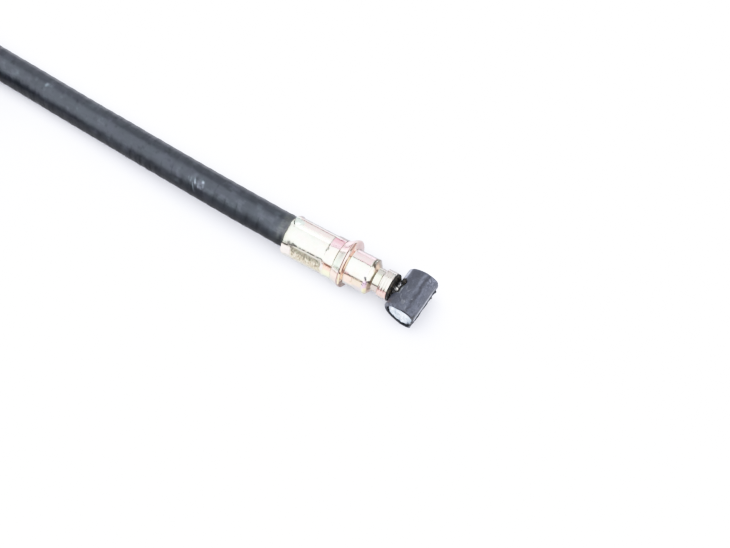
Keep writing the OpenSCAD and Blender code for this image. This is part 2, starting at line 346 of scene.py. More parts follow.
def zinc_material():
    """Yellow zinc plating: a pale metal whose film shifts between cream, rose and green, with fine scratches; its marks
    bring dirt and painted shade to its low places, edges and ridges, and painted highlights where the metal is taken
    away.
    """
    s = Shader("yellow_zinc")
    at = s.mm()
    tint = s.attr("tint", "Color")
    marks = s.split(s.attr("marks"))
    broad = s.noise(at, 0.5, 3.0, 0.55, 1.2)
    film = s.ramp(broad, (0.32, (1.0, 0.97, 0.97)), (0.45, (1.0, 1.0, 0.97)), (0.55, (0.95, 1.0, 0.97)), (0.68, (1.0, 0.98, 0.90)))
    fine = s.noise(s.mm((0.35, 1, 1)), 2.0, 4.0, 0.65, 0.6)
    film = s.mix(0.5, film, s.ramp(fine, (0.34, (1.0, 0.90, 0.90)), (0.5, (1.0, 1.0, 1.0)), (0.66, (0.93, 1.0, 0.92))), "MULTIPLY")
    colour = s.mix(1.0, film, tint, "MULTIPLY")
    speck = s.level(s.noise(at, 5.0, 3.0, 0.7), 0.62, 0.72)
    colour = s.mix(s.calc("MULTIPLY", speck, 0.22), colour, lin(150, 122, 96))
    dirt_and_shade_noise = s.level(s.noise(at, 3.2, 4.0, 0.75), 0.36, 0.62)
    dirt_and_shade = s.calc("MULTIPLY", marks[0], s.calc("ADD", s.calc("MULTIPLY", dirt_and_shade_noise, 0.5), 0.5))
    dirt_and_shade = s.calc("MAXIMUM", dirt_and_shade, s.level(marks[0], 0.62, 0.97))
    colour = s.mix(dirt_and_shade, colour, lin(40, 34, 27))
    scratch = s.noise(s.mm((0.25, 6, 6)), 1.3, 2.0, 0.5)
    wear = s.noise(at, 0.9, 3.0, 0.6)
    rough = s.calc("ADD", s.level(wear, 0.3, 0.7, 0.07, 0.15), s.calc("MULTIPLY", dirt_and_shade, 0.45))
    rough = s.calc("ADD", rough, s.calc("MULTIPLY", marks[1], 0.22))
    # dirt and painted shade darken the plating and take its metal away; the third mark takes the metal away too, so
    # those places show their pale tint as painted highlights
    metal = s.calc("SUBTRACT", 1.0, s.calc("MULTIPLY", dirt_and_shade, 0.8))
    metal = s.calc("MULTIPLY", metal, s.calc("SUBTRACT", 1.0, s.calc("MULTIPLY", marks[2], 0.85)))
    n = s.bump(scratch, 0.10, 0.00002)
    n = s.bump(s.noise(at, 1.2, 3.0, 0.6), 0.15, 0.00006, n)
    s.set(Base_Color=colour, Metallic=metal, Roughness=rough, Normal=n)
    return s.mat


def sheath_material():
    """Extruded black PVC: satin, with scuffs, faint rings of the winding beneath it, and dust; its lower side and the
    rings' grooves are darkened as painted shade.
    """
    s = Shader("sheath_pvc")
    at = s.attr("cord")
    marks = s.split(s.attr("marks"))
    blot = s.noise(s.scaled(at, (0.12, 0.3, 0.3)), 1.0, 4.0, 0.6, 0.4)
    base = s.ramp(blot, (0.3, lin(15, 19, 25)), (0.5, lin(20, 24, 31)), (0.72, lin(27, 31, 39)))
    fine = s.noise(s.scaled(at, (0.35, 1.4, 1.4)), 2.0, 5.0, 0.7)
    base = s.mix(0.35, base, s.ramp(fine, (0.3, lin(12, 15, 20)), (0.7, lin(32, 37, 46))), "MIX")
    scuff = s.level(s.noise(s.scaled(at, (1.0, 0.8, 0.8)), 1.1, 5.0, 0.75, 0.8), 0.66, 0.78)
    base = s.mix(s.calc("MULTIPLY", scuff, 0.10), base, lin(110, 116, 128))
    base = s.mix(s.calc("MULTIPLY", marks[1], s.level(fine, 0.35, 0.6, 0.35, 1.0)), base, lin(104, 106, 96))
    base = s.mix(s.calc("MULTIPLY", marks[2], s.level(fine, 0.3, 0.6, 0.5, 1.0)), base, lin(164, 172, 184))
    base = s.mix(s.calc("MULTIPLY", marks[0], 0.85), base, lin(6, 8, 10))
    tone = s.noise(s.scaled(at, (0.22, 0.35, 0.35)), 1.3, 3.0, 0.6)
    base = s.mix(1.0, base, s.ramp(tone, (0.34, (0.92, 1.06, 1.0)), (0.5, (1.0, 1.0, 1.0)), (0.66, (1.10, 0.97, 1.12))), "MULTIPLY")
    # the sheen dies away at grazing angles, and the underside and the winding's grooves are painted darker and less
    # glossy, as painted shade
    facing = s.node("LayerWeight", Blend=0.5).outputs["Facing"]
    underside_shade = s.ramp(s.attr("side", "Fac"), (0.05, 0.17), (0.30, 0.27), (0.45, 0.44), (0.62, 0.76), (0.80, 1.0))
    gloss = s.level(facing, 0.42, 0.85, 0.62, 0.34)
    gloss = s.calc("MULTIPLY", gloss, s.calc("SUBTRACT", 1.0, s.calc("MULTIPLY", marks[0], 0.8)))
    gloss = s.calc("MULTIPLY", gloss, s.level(blot, 0.3, 0.7, 0.9, 1.1))
    gloss = s.calc("MULTIPLY", gloss, underside_shade)
    base = s.mix(1.0, base, underside_shade, "MULTIPLY")
    rough = s.calc("ADD", s.level(blot, 0.3, 0.7, 0.30, 0.40), s.calc("MULTIPLY", scuff, 0.12))
    rough = s.calc("ADD", rough, s.calc("MULTIPLY", marks[1], 0.25))
    # rings of the winding, which the mesh carries only where it is fine
    s_mm, c1, c2 = s.split(at)
    turn = s.calc("MULTIPLY", s.calc("ARCTAN2", c2, c1), 0.5 / math.pi)
    phase = s.calc("ADD", s.calc("DIVIDE", s.calc("SUBTRACT", 33.91, s_mm), RING), turn)
    off = s.calc("ABSOLUTE", s.calc("SUBTRACT", s.calc("FRACT", phase), 0.5))
    groove = s.calc("MULTIPLY", s.level(off, 0.36, 0.5, 1.0, 0.0), s.level(s_mm, 118.0, 122.0, 0.0, 1.0))
    n = s.bump(groove, 0.30, 0.00012)
    n = s.bump(s.noise(s.scaled(at, (1.2, 0.7, 0.7)), 1.1, 4.0, 0.65), 0.35, 0.00012, n)
    n = s.bump(s.noise(s.scaled(at, (5.0, 3.0, 3.0)), 1.6, 3.0, 0.7), 0.30, 0.00003, n)
    s.set(Base_Color=base, Roughness=rough, Normal=n, Specular_IOR_Level=gloss, Specular_Tint=(0.85, 0.915, 1.0))
    return s.mat


def rubber_material():
    """Black moulded rubber with grease and a little dust."""
    s = Shader("black_rubber")
    at = s.mm()
    n1 = s.noise(at, 1.1, 4.0, 0.6)
    base = s.ramp(n1, (0.3, lin(8, 8, 8)), (0.55, lin(15, 14, 13)), (0.75, lin(30, 26, 22)))
    dust = s.level(s.noise(at, 1.9, 5.0, 0.8), 0.53, 0.66)
    base = s.mix(s.calc("MULTIPLY", dust, 0.42), base, lin(118, 102, 80))
    grease = s.level(s.noise(at, 0.7, 2.0, 0.5, 0.6), 0.42, 0.62)
    rough = s.calc("SUBTRACT", 0.66, s.calc("MULTIPLY", grease, 0.36))
    n = s.bump(s.noise(at, 2.2, 4.0, 0.65), 0.6, 0.00014)
    s.set(Base_Color=base, Roughness=rough, Normal=n, Specular_IOR_Level=0.30)
    return s.mat


def steel_material(name, dull):
    """Drawn steel wire: bright, with fine drawing lines, a trace of oil, black grease near the mouth, and small white
    painted highlights for glints.
    """
    s = Shader(name)
    at = s.mm()
    n1 = s.noise(at, 0.8, 3.0, 0.6)
    base = s.ramp(n1, (0.3, lin(150 - dull, 150 - dull, 152 - dull)), (0.7, lin(206 - dull, 207 - dull, 210 - dull)))
    oil = s.level(s.noise(at, 1.9, 3.0, 0.7), 0.56, 0.7)
    base = s.mix(s.calc("MULTIPLY", oil, 0.4), base, lin(120, 106, 84))
    grease = s.attr("grease", "Fac")
    base = s.mix(grease, base, lin(12, 11, 10))
    rough = s.calc("ADD", s.level(n1, 0.3, 0.7, 0.2, 0.36), s.calc("MULTIPLY", grease, 0.15))
    # painted highlights: the glint spots are made white and not metallic
    painted_glint = s.attr("painted_glint", "Fac")
    base = s.mix(painted_glint, base, lin(246, 244, 238))
    n = s.bump(s.noise(s.mm((0.2, 5, 5)), 2.2, 2.0, 0.5), 0.2, 0.00002)
    s.set(Base_Color=base, Metallic=s.calc("MULTIPLY", s.calc("SUBTRACT", 1.0, s.calc("MULTIPLY", grease, 0.9)), s.calc("SUBTRACT", 1.0, painted_glint)), Roughness=rough, Normal=n)
    return s.mat


def cast_material():
    """Die-cast zinc: bluish white, with draw marks, scratches and small pits."""
    s = Shader("cast_zinc")
    at = s.mm()
    broad = s.noise(at, 0.55, 4.0, 0.6, 0.5)
    base = s.ramp(broad, (0.30, lin(150, 160, 166)), (0.46, lin(196, 205, 212)), (0.6, lin(226, 231, 236)), (0.72, lin(246, 248, 250)))
    streak = s.noise(s.mm((1.6, 6, 0.5)), 1.2, 3.0, 0.6, 0.3)
    base = s.mix(s.level(streak, 0.50, 0.66, 0.0, 0.55), base, lin(128, 136, 146))
    pit = s.level(s.cells(at, 2.6), 0.0, 0.16, 1.0, 0.0)
    base = s.mix(s.calc("MULTIPLY", pit, 0.5), base, lin(92, 96, 102))
    rough = s.level(broad, 0.3, 0.7, 0.46, 0.30)
    # the grease attribute darkens it and takes its metal away; on the barrel's core this is painted shade where the
    # window opens onto the cavity
    grease = s.attr("grease", "Fac")
    base = s.mix(grease, base, lin(10, 10, 9))
    n = s.bump(streak, 0.35, 0.00006)
    n = s.bump(s.noise(at, 1.5, 5.0, 0.65), 0.35, 0.00012, n)
    s.set(Base_Color=base, Metallic=s.calc("SUBTRACT", 0.85, s.calc("MULTIPLY", grease, 0.85)), Roughness=rough, Normal=n)
    return s.mat


def bush_material():
    """Dark moulded plastic, handled: mottled sheen, scuffs and paler worn places, with painted shade and painted
    highlights along its edges, fin and window.
    """
    s = Shader("bush_plastic")
    at = s.mm()
    marks = s.split(s.attr("marks"))
    mottle = s.noise(s.mm((1.0, 0.6, 1.0)), 0.75, 4.0, 0.65, 0.8)
    base = s.ramp(mottle, (0.28, lin(37, 42, 50)), (0.5, lin(47, 52, 63)), (0.72, lin(61, 65, 78)))
    fine = s.noise(at, 2.6, 5.0, 0.75)
    base = s.mix(0.25, base, s.ramp(fine, (0.3, lin(18, 20, 26)), (0.7, lin(92, 95, 108))))
    base = s.mix(s.calc("MULTIPLY", marks[0], 0.92), base, s.mix(s.level(marks[0], 0.75, 0.9), lin(24, 26, 38), lin(15, 17, 21)))
    base = s.mix(s.calc("MULTIPLY", marks[1], s.level(fine, 0.3, 0.6, 0.4, 1.0)), base, lin(136, 140, 156))
    base = s.mix(marks[2], base, lin(232, 234, 240))
    rough = s.level(mottle, 0.3, 0.7, 0.34, 0.50)
    n = s.bump(s.noise(s.mm((1, 0.5, 1)), 0.9, 4.0, 0.6, 0.5), 0.35, 0.00018)
    n = s.bump(fine, 0.3, 0.00005, n)
    s.set(Base_Color=base, Roughness=rough, Normal=n)
    return s.mat


def winding_material():
    s = Shader("winding_steel")
    at = s.mm()
    n1 = s.noise(at, 1.2, 3.0, 0.6)
    base = s.ramp(n1, (0.3, lin(120, 122, 126)), (0.7, lin(176, 178, 182)))
    rust = s.level(s.noise(at, 2.1, 4.0, 0.7), 0.60, 0.72)
    base = s.mix(s.calc("MULTIPLY", rust, 0.5), base, lin(132, 88, 58))
    n = s.bump(s.noise(s.mm((5, 1, 1)), 1.5, 2.0, 0.5), 0.3, 0.00003)
    s.set(Base_Color=base, Metallic=1.0, Roughness=s.level(n1, 0.3, 0.7, 0.28, 0.42), Normal=n)
    return s.mat


def liner_material():
    s = Shader("liner_plastic")
    at = s.mm()
    n1 = s.noise(s.mm((0.2, 1, 1)), 0.9, 3.0, 0.55)
    base = s.ramp(n1, (0.3, lin(222, 220, 206)), (0.7, lin(240, 239, 230)))
    n = s.bump(s.noise(s.mm((0.15, 3, 3)), 1.3, 2.0, 0.5), 0.2, 0.00003)
    s.set(Base_Color=base, Roughness=s.level(n1, 0.3, 0.7, 0.3, 0.4), Normal=n, Subsurface_Weight=0.1)
    return s.mat


def tie_material():
    """Black nylon: fine moulded grain and slightly paler worn edges."""
    s = Shader("tie_nylon")
    at = s.mm()
    n1 = s.noise(at, 1.0, 4.0, 0.6)
    base = s.ramp(n1, (0.3, lin(22, 22, 24)), (0.7, lin(38, 38, 41)))
    scuff = s.level(s.noise(at, 2.4, 5.0, 0.75), 0.60, 0.74)
    base = s.mix(s.calc("MULTIPLY", scuff, 0.25), base, lin(92, 92, 96))
    n = s.bump(s.noise(at, 6.0, 3.0, 0.6), 0.3, 0.00005)
    s.set(Base_Color=base, Roughness=s.level(n1, 0.3, 0.7, 0.40, 0.55), Normal=n)
    return s.mat


RING = 3.25  # pitch of the winding in the conduit
ZINC, SHEATH, RUBBER = zinc_material(), sheath_material(), rubber_material()
WIRE, CAST, BUSH = steel_material("wire_strand", 0), cast_material(), bush_material()
WINDING, LINER, TIE = winding_material(), liner_material(), tie_material()

# ---------------------------------------------------------------- conduit
FAR_Y, FAR_Z = -90.2, 0.4
COIL = np.array([-162.0, -41.5])


def coil_point(phi):
    """Centre line of the coil at phi degrees of travel from its start above (-162, 7.2)."""
    r = 48.7 - 8.4 * sm(300, 360, phi) + 8.4 * sm(900, 990, phi)
    z = 6.45 - 8.4 * sm(610, 700, phi)
    away = wrap(phi - 90) * math.radians(1) * r
    z = z + 1.2 * (1 - sm(4, 40, abs(away)))
    a = math.radians(90 + phi)
    return [COIL[0] + r * math.cos(a), COIL[1] + r * math.sin(a), float(z)]


keys = [
    [-4.2, 0.42, 0], [-10.5, 0.42, 0], [-17.2, 0.42, 0], [-24, 0.6, 0], [-32.3, 0.86, 0], [-44.5, 1.46, -0.16],
    [-57.3, 2.31, -0.65], [-70.5, 3.29, -1.29], [-84, 4.24, -1.8], [-97.7, 5.12, -1.95], [-111.6, 5.95, -1.95],
    [-120, 6.4, -1.45], [-126, 6.7, -0.05], [-132, 6.9, 2.25], [-138, 7.1, 4.6], [-144, 7.2, 6], [-150, 7.2, 6.45],
]
keys += [coil_point(p) for p in range(0, 1261, 15)]
keys += [[-155, -90.2, -1.7], [-149, -90.2, -0.8], [-143, -90.2, 0.15], [-137, -90.2, 0.4], [-130, -90.2, 0.4], [-122.2, -90.2, 0.4]]
line = spline(keys, lambda s: 0.27 if s < 120 else 1.3)
reach = np.concatenate([[0], np.cumsum(np.linalg.norm(np.diff(line, axis=0), axis=1))])


def conduit():
    sides = 48
    t, n, b = frames(line)
    ang = np.arange(sides) * 2 * math.pi / sides
    s = reach[:, None]
    a = ang[None, :]
    near = 1 - sm(150, 200, s)
    # rings of the flat winding under the sheath, soft dents and long waves
    place = np.stack([s + 0 * a, 4.15 * np.cos(a) + 0 * s, 4.15 * np.sin(a) + 0 * s], -1)
    uneven = fbm(place * np.array([0.12, 0.2, 0.2]), 2, 1)
    turn = ((33.91 - s) / RING + a / (2 * math.pi)) % 1.0
    off = np.minimum(turn, 1 - turn) * RING
    fine = 1 - sm(118, 122, s)
    relief = -0.055 * np.exp(-((off / 0.30) ** 2)) * np.clip(0.55 + 0.9 * uneven, 0.1, 1.3) * fine
    relief = relief + (0.018 * np.cos(2 * math.pi * (turn - 0.5)) + 0.020 * np.cos(4 * math.pi * (turn + 0.1 * uneven)) * np.clip(0.4 + uneven, 0, 1)) * fine
    relief = relief + 0.030 * fbm(place * np.array([0.30, 0.22, 0.22]), 3, 2) * (0.4 + 0.6 * near)
    # the sheath is pinched where the ferrule grips it
    pinch = -0.10 * bell(s, 13.0, 1.2) + 0.05 * bell(s, 14.6, 0.7)
    r = 4.11 + relief + pinch
    # angle about the cable from +Z towards -Y near the ferrule, in degrees
    phi = np.degrees(np.arctan2(-(n[:, 1:2] * np.cos(a) + b[:, 1:2] * np.sin(a)), n[:, 2:3] * np.cos(a) + b[:, 2:3] * np.sin(a)))
    x = line[:, 0:1] + 0 * a
    arc = np.radians(wrap(phi)) * 4.15

    def spot(x0, p0, wx, wp):
        return np.exp(-(((x - x0) / wx) ** 2) - ((wrap(phi - p0) * 0.0724 / wp) ** 2))

    def line_mark(points, width):
        return stroke(x, arc, [(px, math.radians(pp) * 4.15) for px, pp in points], width) * near

    # a nick with a raised lip, its scratches, and a scuffed patch beside it
    nick = 0.95 * line_mark([(-44.1, 22), (-43.5, 40)], 0.17) + 0.8 * line_mark([(-44.2, 45), (-43.2, 68)], 0.12)
    nick += 0.85 * line_mark([(-41.9, 20), (-41.25, 28), (-41.2, 36), (-41.7, 44), (-42.4, 45)], 0.20) + 0.60 * spot(-42.1, 31, 0.75, 0.85)
    nick += 0.40 * line_mark([(-45.2, 24), (-44.9, 36)], 0.12) + 0.30 * line_mark([(-45.9, 26), (-45.7, 34)], 0.10)
    nick += 0.65 * spot(-48.8, 66, 0.9, 0.5) * (0.5 + np.clip(fbm(place * 1.6, 2, 5), 0, 1)) + 0.75 * spot(-93.8, 4, 0.35, 0.35) + 0.45 * spot(-92.9, 2, 0.8, 0.15)
    nick += 0.14 * spot(-103.5, 24, 1.0, 0.7) + 0.10 * spot(-99.3, 17, 0.9, 0.5)
    r = r - 0.05 * spot(-42.3, 32, 0.7, 0.9) + 0.03 * line_mark([(-41.9, 20), (-41.2, 28), (-41.15, 36), (-41.7, 44)], 0.25)
    r = r - 0.06 * spot(-48.8, 66, 1.0, 0.7) * (1 + fbm(place * 1.3, 2, 6)) - 0.03 * line_mark([(-44.0, 24), (-43.2, 68)], 0.2)
    dark = 0.75 * line_mark([(-38.05, 2), (-37.5, 75)], 0.13) + 0.5 * line_mark([(-34.7, 18), (-34.4, 49)], 0.13) + 0.35 * line_mark([(-31.4, 20), (-31.1, 44)], 0.12)
    dark += 0.35 * line_mark([(-24.9, 20), (-24.6, 46)], 0.12) + 0.4 * line_mark([(-54.2, 30), (-53.8, 52)], 0.13) + 0.35 * line_mark([(-51.0, 22), (-50.6, 50)], 0.12)
    dark += 0.5 * spot(-45.2, 52, 0.4, 0.35) + 0.5 * spot(-41.0, 40, 0.15, 0.3) + 0.5 * spot(-18.6, -31, 0.5, 0.5) + 0.4 * spot(-17.9, 60, 0.3, 0.9) + 0.8 * bell(x, -17.05, 0.22) * (s < 40) * np.clip(0.5 + 1.5 * fbm(place * 1.6, 2, 13), 0, 1)
    # painted shade in the winding's grooves
    dark += 0.12 * np.exp(-((off / 0.35) ** 2)) * np.clip(uneven + 0.3, 0, 1) * fine
    r = r - 0.04 * np.clip(dark, 0, 1) * near
    dust = bell(x, -17.2, 0.35) * 0.75 + 0.40 * bell(x, -18.4, 1.0) * np.clip(0.6 + 1.2 * fbm(place * 0.6, 3, 3), 0, 1)
    dust = np.where(s < 40, dust, 0)
    r = r + 0.07 * bell(x, -18.9, 0.35) * band(phi, -80, 20, 20) * (s < 40)
    rag = fbm(place * np.array([1.1, 0.9, 0.9]), 3, 9)
    nick = nick * np.clip(0.40 + 0.6 * rag, 0.08, 0.62)
    dark = dark * np.clip(0.60 + 1.1 * fbm(place * 0.8, 2, 10), 0, 1) + 0.30 * sm(0.42, 0.8, fbm(place * np.array([0.5, 0.6, 0.6]), 3, 11)) * fine
    nick = nick + 0.05 * sm(0.25, 0.7, fbm(place * np.array([0.35, 0.45, 0.45]), 3, 12)) * fine
    marks = np.stack([np.clip(dark * near, 0, 1), np.clip(dust, 0, 1), np.clip(nick * near, 0, 1)], -1)
    # how far each place faces up, dipping in the winding's grooves; the sheath's material paints shade from it on the
    # underside and in the grooves
    facing_up_for_shade = n[:, 2:3] * np.cos(a) + b[:, 2:3] * np.sin(a)
    facing_up_for_shade = facing_up_for_shade + (0.10 * fbm(place * np.array([0.25, 0.12, 0.12]), 3, 7) - 0.10 * np.exp(-((off / 0.4) ** 2)) * np.clip(0.4 + uneven, 0, 1)) * fine
    ring = line[:, None, :] + r[..., None] * (n[:, None, :] * np.cos(a)[..., None] + b[:, None, :] * np.sin(a)[..., None])
    rings, where, mk = [ring], [place], [marks]

    # the cut ends are hollow, for the winding
    def bore(at, depth_sign, cy, cz):
        steps = np.arange(0, 26, 3.0)
        base = line[at]
        out_r, out_p, out_m = [], [], []
        for k, (d, rr) in enumerate([(0.0, 4.05), (0.0, 3.42), (0.12, 3.36)] + [(x, 3.36) for x in steps[1:]]):
            j = np.argmin(abs(reach - (reach[at] + depth_sign * d)))
            c = line[j].copy()
            w = 1.0 if rr < 3.5 else 0.0
            c[1] += cy * w
            q = c + rr * (n[j] * np.cos(ang)[:, None] + b[j] * np.sin(ang)[:, None])
            q = q + (0 if rr < 4 else 0) * t[j]
            out_r.append(q)
            out_p.append(np.stack([reach[j] + 0 * ang, rr * np.cos(ang), rr * np.sin(ang)], -1))
            out_m.append(np.zeros((sides, 3)))
        return np.array(out_r), np.array(out_p), np.array(out_m)

    fr, fp, fm = bore(0, 1, -0.42, 0)
    lr, lp, lm = bore(len(line) - 1, -1, 0, 0)
    rings = np.concatenate([fr[::-1], ring, lr])
    where = np.concatenate([fp[::-1], place, lp])
    mk = np.concatenate([fm[::-1], marks, lm])
    nu = len(rings)
    v = rings.reshape(-1, 3)
    c0, c1 = rings[0].mean(0), rings[-1].mean(0)
    v = np.concatenate([v, [c0, c1]])
    faces = [quads(nu, sides), fans(nu, sides, nu * sides, nu * sides + 1)]
    cordv = np.concatenate([where.reshape(-1, 3), [where[0].mean(0), where[-1].mean(0)]])
    marksv = np.concatenate([mk.reshape(-1, 3), np.zeros((2, 3))])
    side = np.concatenate([np.zeros(len(fr) * sides), facing_up_for_shade.ravel(), np.zeros(len(lr) * sides + 2)])
    return build(
        "conduit_sheath", v, faces, SHEATH, "conduit",
        ["lever_sheath_end", "conduit_lever_stretch", "conduit_coil", "conduit_far_stretch", "far_sheath_end"],
        sharp=40, attrs={"cord": cordv, "marks": marksv, "side": side},
    )


sheath = conduit()

# ---------------------------------------------------------------- layers inside the conduit
def layer(name, centre, r_out, r_in, material, node, groove=False):
    """A hollow tube along centre, with a flat-wire spiral cut into it if groove is set."""
    sides = 40
    t, n, b = frames(centre)
    s = np.concatenate([[0], np.cumsum(np.linalg.norm(np.diff(centre, axis=0), axis=1))])[:, None]
    a = (np.arange(sides) * 2 * math.pi / sides)[None, :]
    ro = r_out + 0 * s + 0 * a
    if groove:
        f = (s / 1.75 + a / (2 * math.pi)) % 1.0
        ro = ro - 0.22 * (1 - sm(0.0, 0.10, f) * (1 - sm(0.90, 1.0, f)))
    ri = r_in + 0 * s + 0 * a
    d = n[:, None, :] * np.cos(a)[..., None] + b[:, None, :] * np.sin(a)[..., None]
    outer, inner = centre[:, None, :] + ro[..., None] * d, centre[:, None, :] + ri[..., None] * d
    rings = np.concatenate([outer, inner[::-1]])
    nu = len(rings)
    return build(name, rings.reshape(-1, 3), [quads(nu, sides, True)], material, "conduit", [node], sharp=40)


def run(x0, x1, step, far=False):
    x = np.arange(x0, x1 + 1e-6, step)
    if far:
        return np.stack([x, FAR_Y + 0 * x, FAR_Z + 0 * x], -1)
    j = [int(np.argmin(abs(line[: 400, 0] - min(v, -4.2)))) for v in x]
    y = np.where(x > -17.2, 0.0, line[j, 1] - 0.42)
    return np.stack([x, y, 0 * x], -1)


layer("lever_winding", run(-31.6, -4.4, 0.16), 3.27, 2.15, WINDING, "lever_winding_end", True)
layer("far_winding", run(-137.6, -122.2, 0.16, True), 3.27, 2.15, WINDING, "far_winding_end", True)
layer("lever_liner_tube", run(-31.8, 8.4, 0.6), 2.1, 1.55, LINER, "lever_liner")
layer("far_liner_tube", run(-137.8, -88.5, 0.6, True), 2.1, 1.55, LINER, "far_liner")


# ---------------------------------------------------------------- stranded wire
def strand(name, x0, x1, y, z, radius, body, node, frayed=False):
    """Twelve wires laid round a core, the usual 1x19 look of a control cable's inner wire."""
    outer, d = 12, radius * 0.42
    lay = radius * 14.5
    x = np.arange(x0, x1 + 1e-6, 0.45)
    x[-1] = x1
    verts, faces, count = [], [], 0
    m = 9
    for k in range(outer + 1):
        if k < outer:
            a = 2 * math.pi * (k / outer + x / lay)
            lane = radius - d / 2 - 0.004
            cy, cz = y + lane * np.cos(a), z + lane * np.sin(a)
            rr, mm = d / 2 * 1.02, m
        else:
            cy, cz, rr, mm = y + 0 * x, z + 0 * x, radius - d * 0.8, 16
        c = np.stack([x, cy, cz], -1)
        t, n, b = frames(c)
        ang = np.arange(mm) * 2 * math.pi / mm
        scale = np.ones(len(x))
        scale[0] = scale[-1] = 0.82
        ring = c[:, None, :] + rr * scale[:, None, None] * (n[:, None, :] * np.cos(ang)[None, :, None] + b[:, None, :] * np.sin(ang)[None, :, None])
        nu = len(x)
        v = np.concatenate([ring.reshape(-1, 3), [c[0], c[-1]]])
        f = quads(nu, mm, first=count)
        g = fans(nu, mm, count + nu * mm, count + nu * mm + 1, first=count)
        verts.append(v)
        faces += [f, g]
        count += len(v)
    v = np.concatenate(verts)
    grease = np.clip(0.97 + 0.6 * fbm(v * 0.8, 3, 17), 0, 1) * band(v[:, 0], 9.0, 14.0, 0.8)
    painted_glint = 0 * grease
    for gx, gy, gz in PAINTED_GLINTS:
        near = np.clip(1.9 * np.exp(-(((v - np.array([gx, gy, gz])) ** 2).sum(-1)) / 0.26**2), 0, 1)
        grease, painted_glint = grease * (1 - near), np.maximum(painted_glint, near)
    return build(name, v, faces, WIRE, body, [node], sharp=45, attrs={"grease": grease, "painted_glint": painted_glint})


# painted highlights: two places on the wire by the mouth that are made white and not metallic, to stand for glints
PAINTED_GLINTS = ((12.82, 0.68, 1.02), (12.66, -0.36, 1.18))


strand("lever_wire_strand", -30, 17.6, 0, 0, 1.25, "lever_wire", "lever_inner_wire")
strand("far_wire_strand", -108, -51.0, FAR_Y, FAR_Z, 1.25, "far_wire", "far_inner_wire")


# ---------------------------------------------------------------- plating colours
BASE = (0.87, 0.86, 0.80)
ROSE, PINK, PALE = (0.83, 0.67, 0.65), (0.97, 0.55, 0.62), (0.86, 0.76, 0.73)
GREEN, GOLD, ORANGE = (0.76, 0.84, 0.71), (0.90, 0.79, 0.52), (0.98, 0.62, 0.45)
COPPER, BROWN, VIOLET = (0.64, 0.38, 0.27), (0.40, 0.30, 0.22), (0.66, 0.46, 0.84)
PEACH, STONE, TAN = (0.88, 0.69, 0.56), (0.72, 0.65, 0.53), (0.50, 0.40, 0.32)


def painted(shape, patches):
    """The film's colour from soft patches, each (weight, colour); on the ferrule the patches also carry painted
    reflections and shade.
    """
    t = np.ones((*shape, 3)) * np.array(BASE)
    for w, colour in patches:
        w = np.clip(np.broadcast_to(w, shape), 0, 1)[..., None]
        t = t * (1 - w) + np.array(colour) * w
    return np.concatenate([t, np.ones((*shape, 1))], -1)


def jaws(phi, angles, near, jaw_r, top):
    """Radius of a shape crimped by jaws whose arcs bulge less than the tube."""
    c = jaw_r - near
    r = np.full(np.shape(phi), 1e9)
    for a in angles:
        d = np.radians(wrap(phi - a))
        one = np.where(abs(d) < 1.4, -c * np.cos(d) + np.sqrt(np.maximum(jaw_r**2 - (c * np.sin(d)) ** 2, 0)), 1e9)
        k = 0.05
        h = np.clip(0.5 + 0.5 * (r - one) / k, 0, 1)
        r = np.where(r > 1e8, one, r * (1 - h) + one * h - k * h * (1 - h))
    k = 0.05
    h = np.clip(0.5 + 0.5 * (top - r) / k, 0, 1)
    return top * (1 - h) + r * h - k * h * (1 - h)


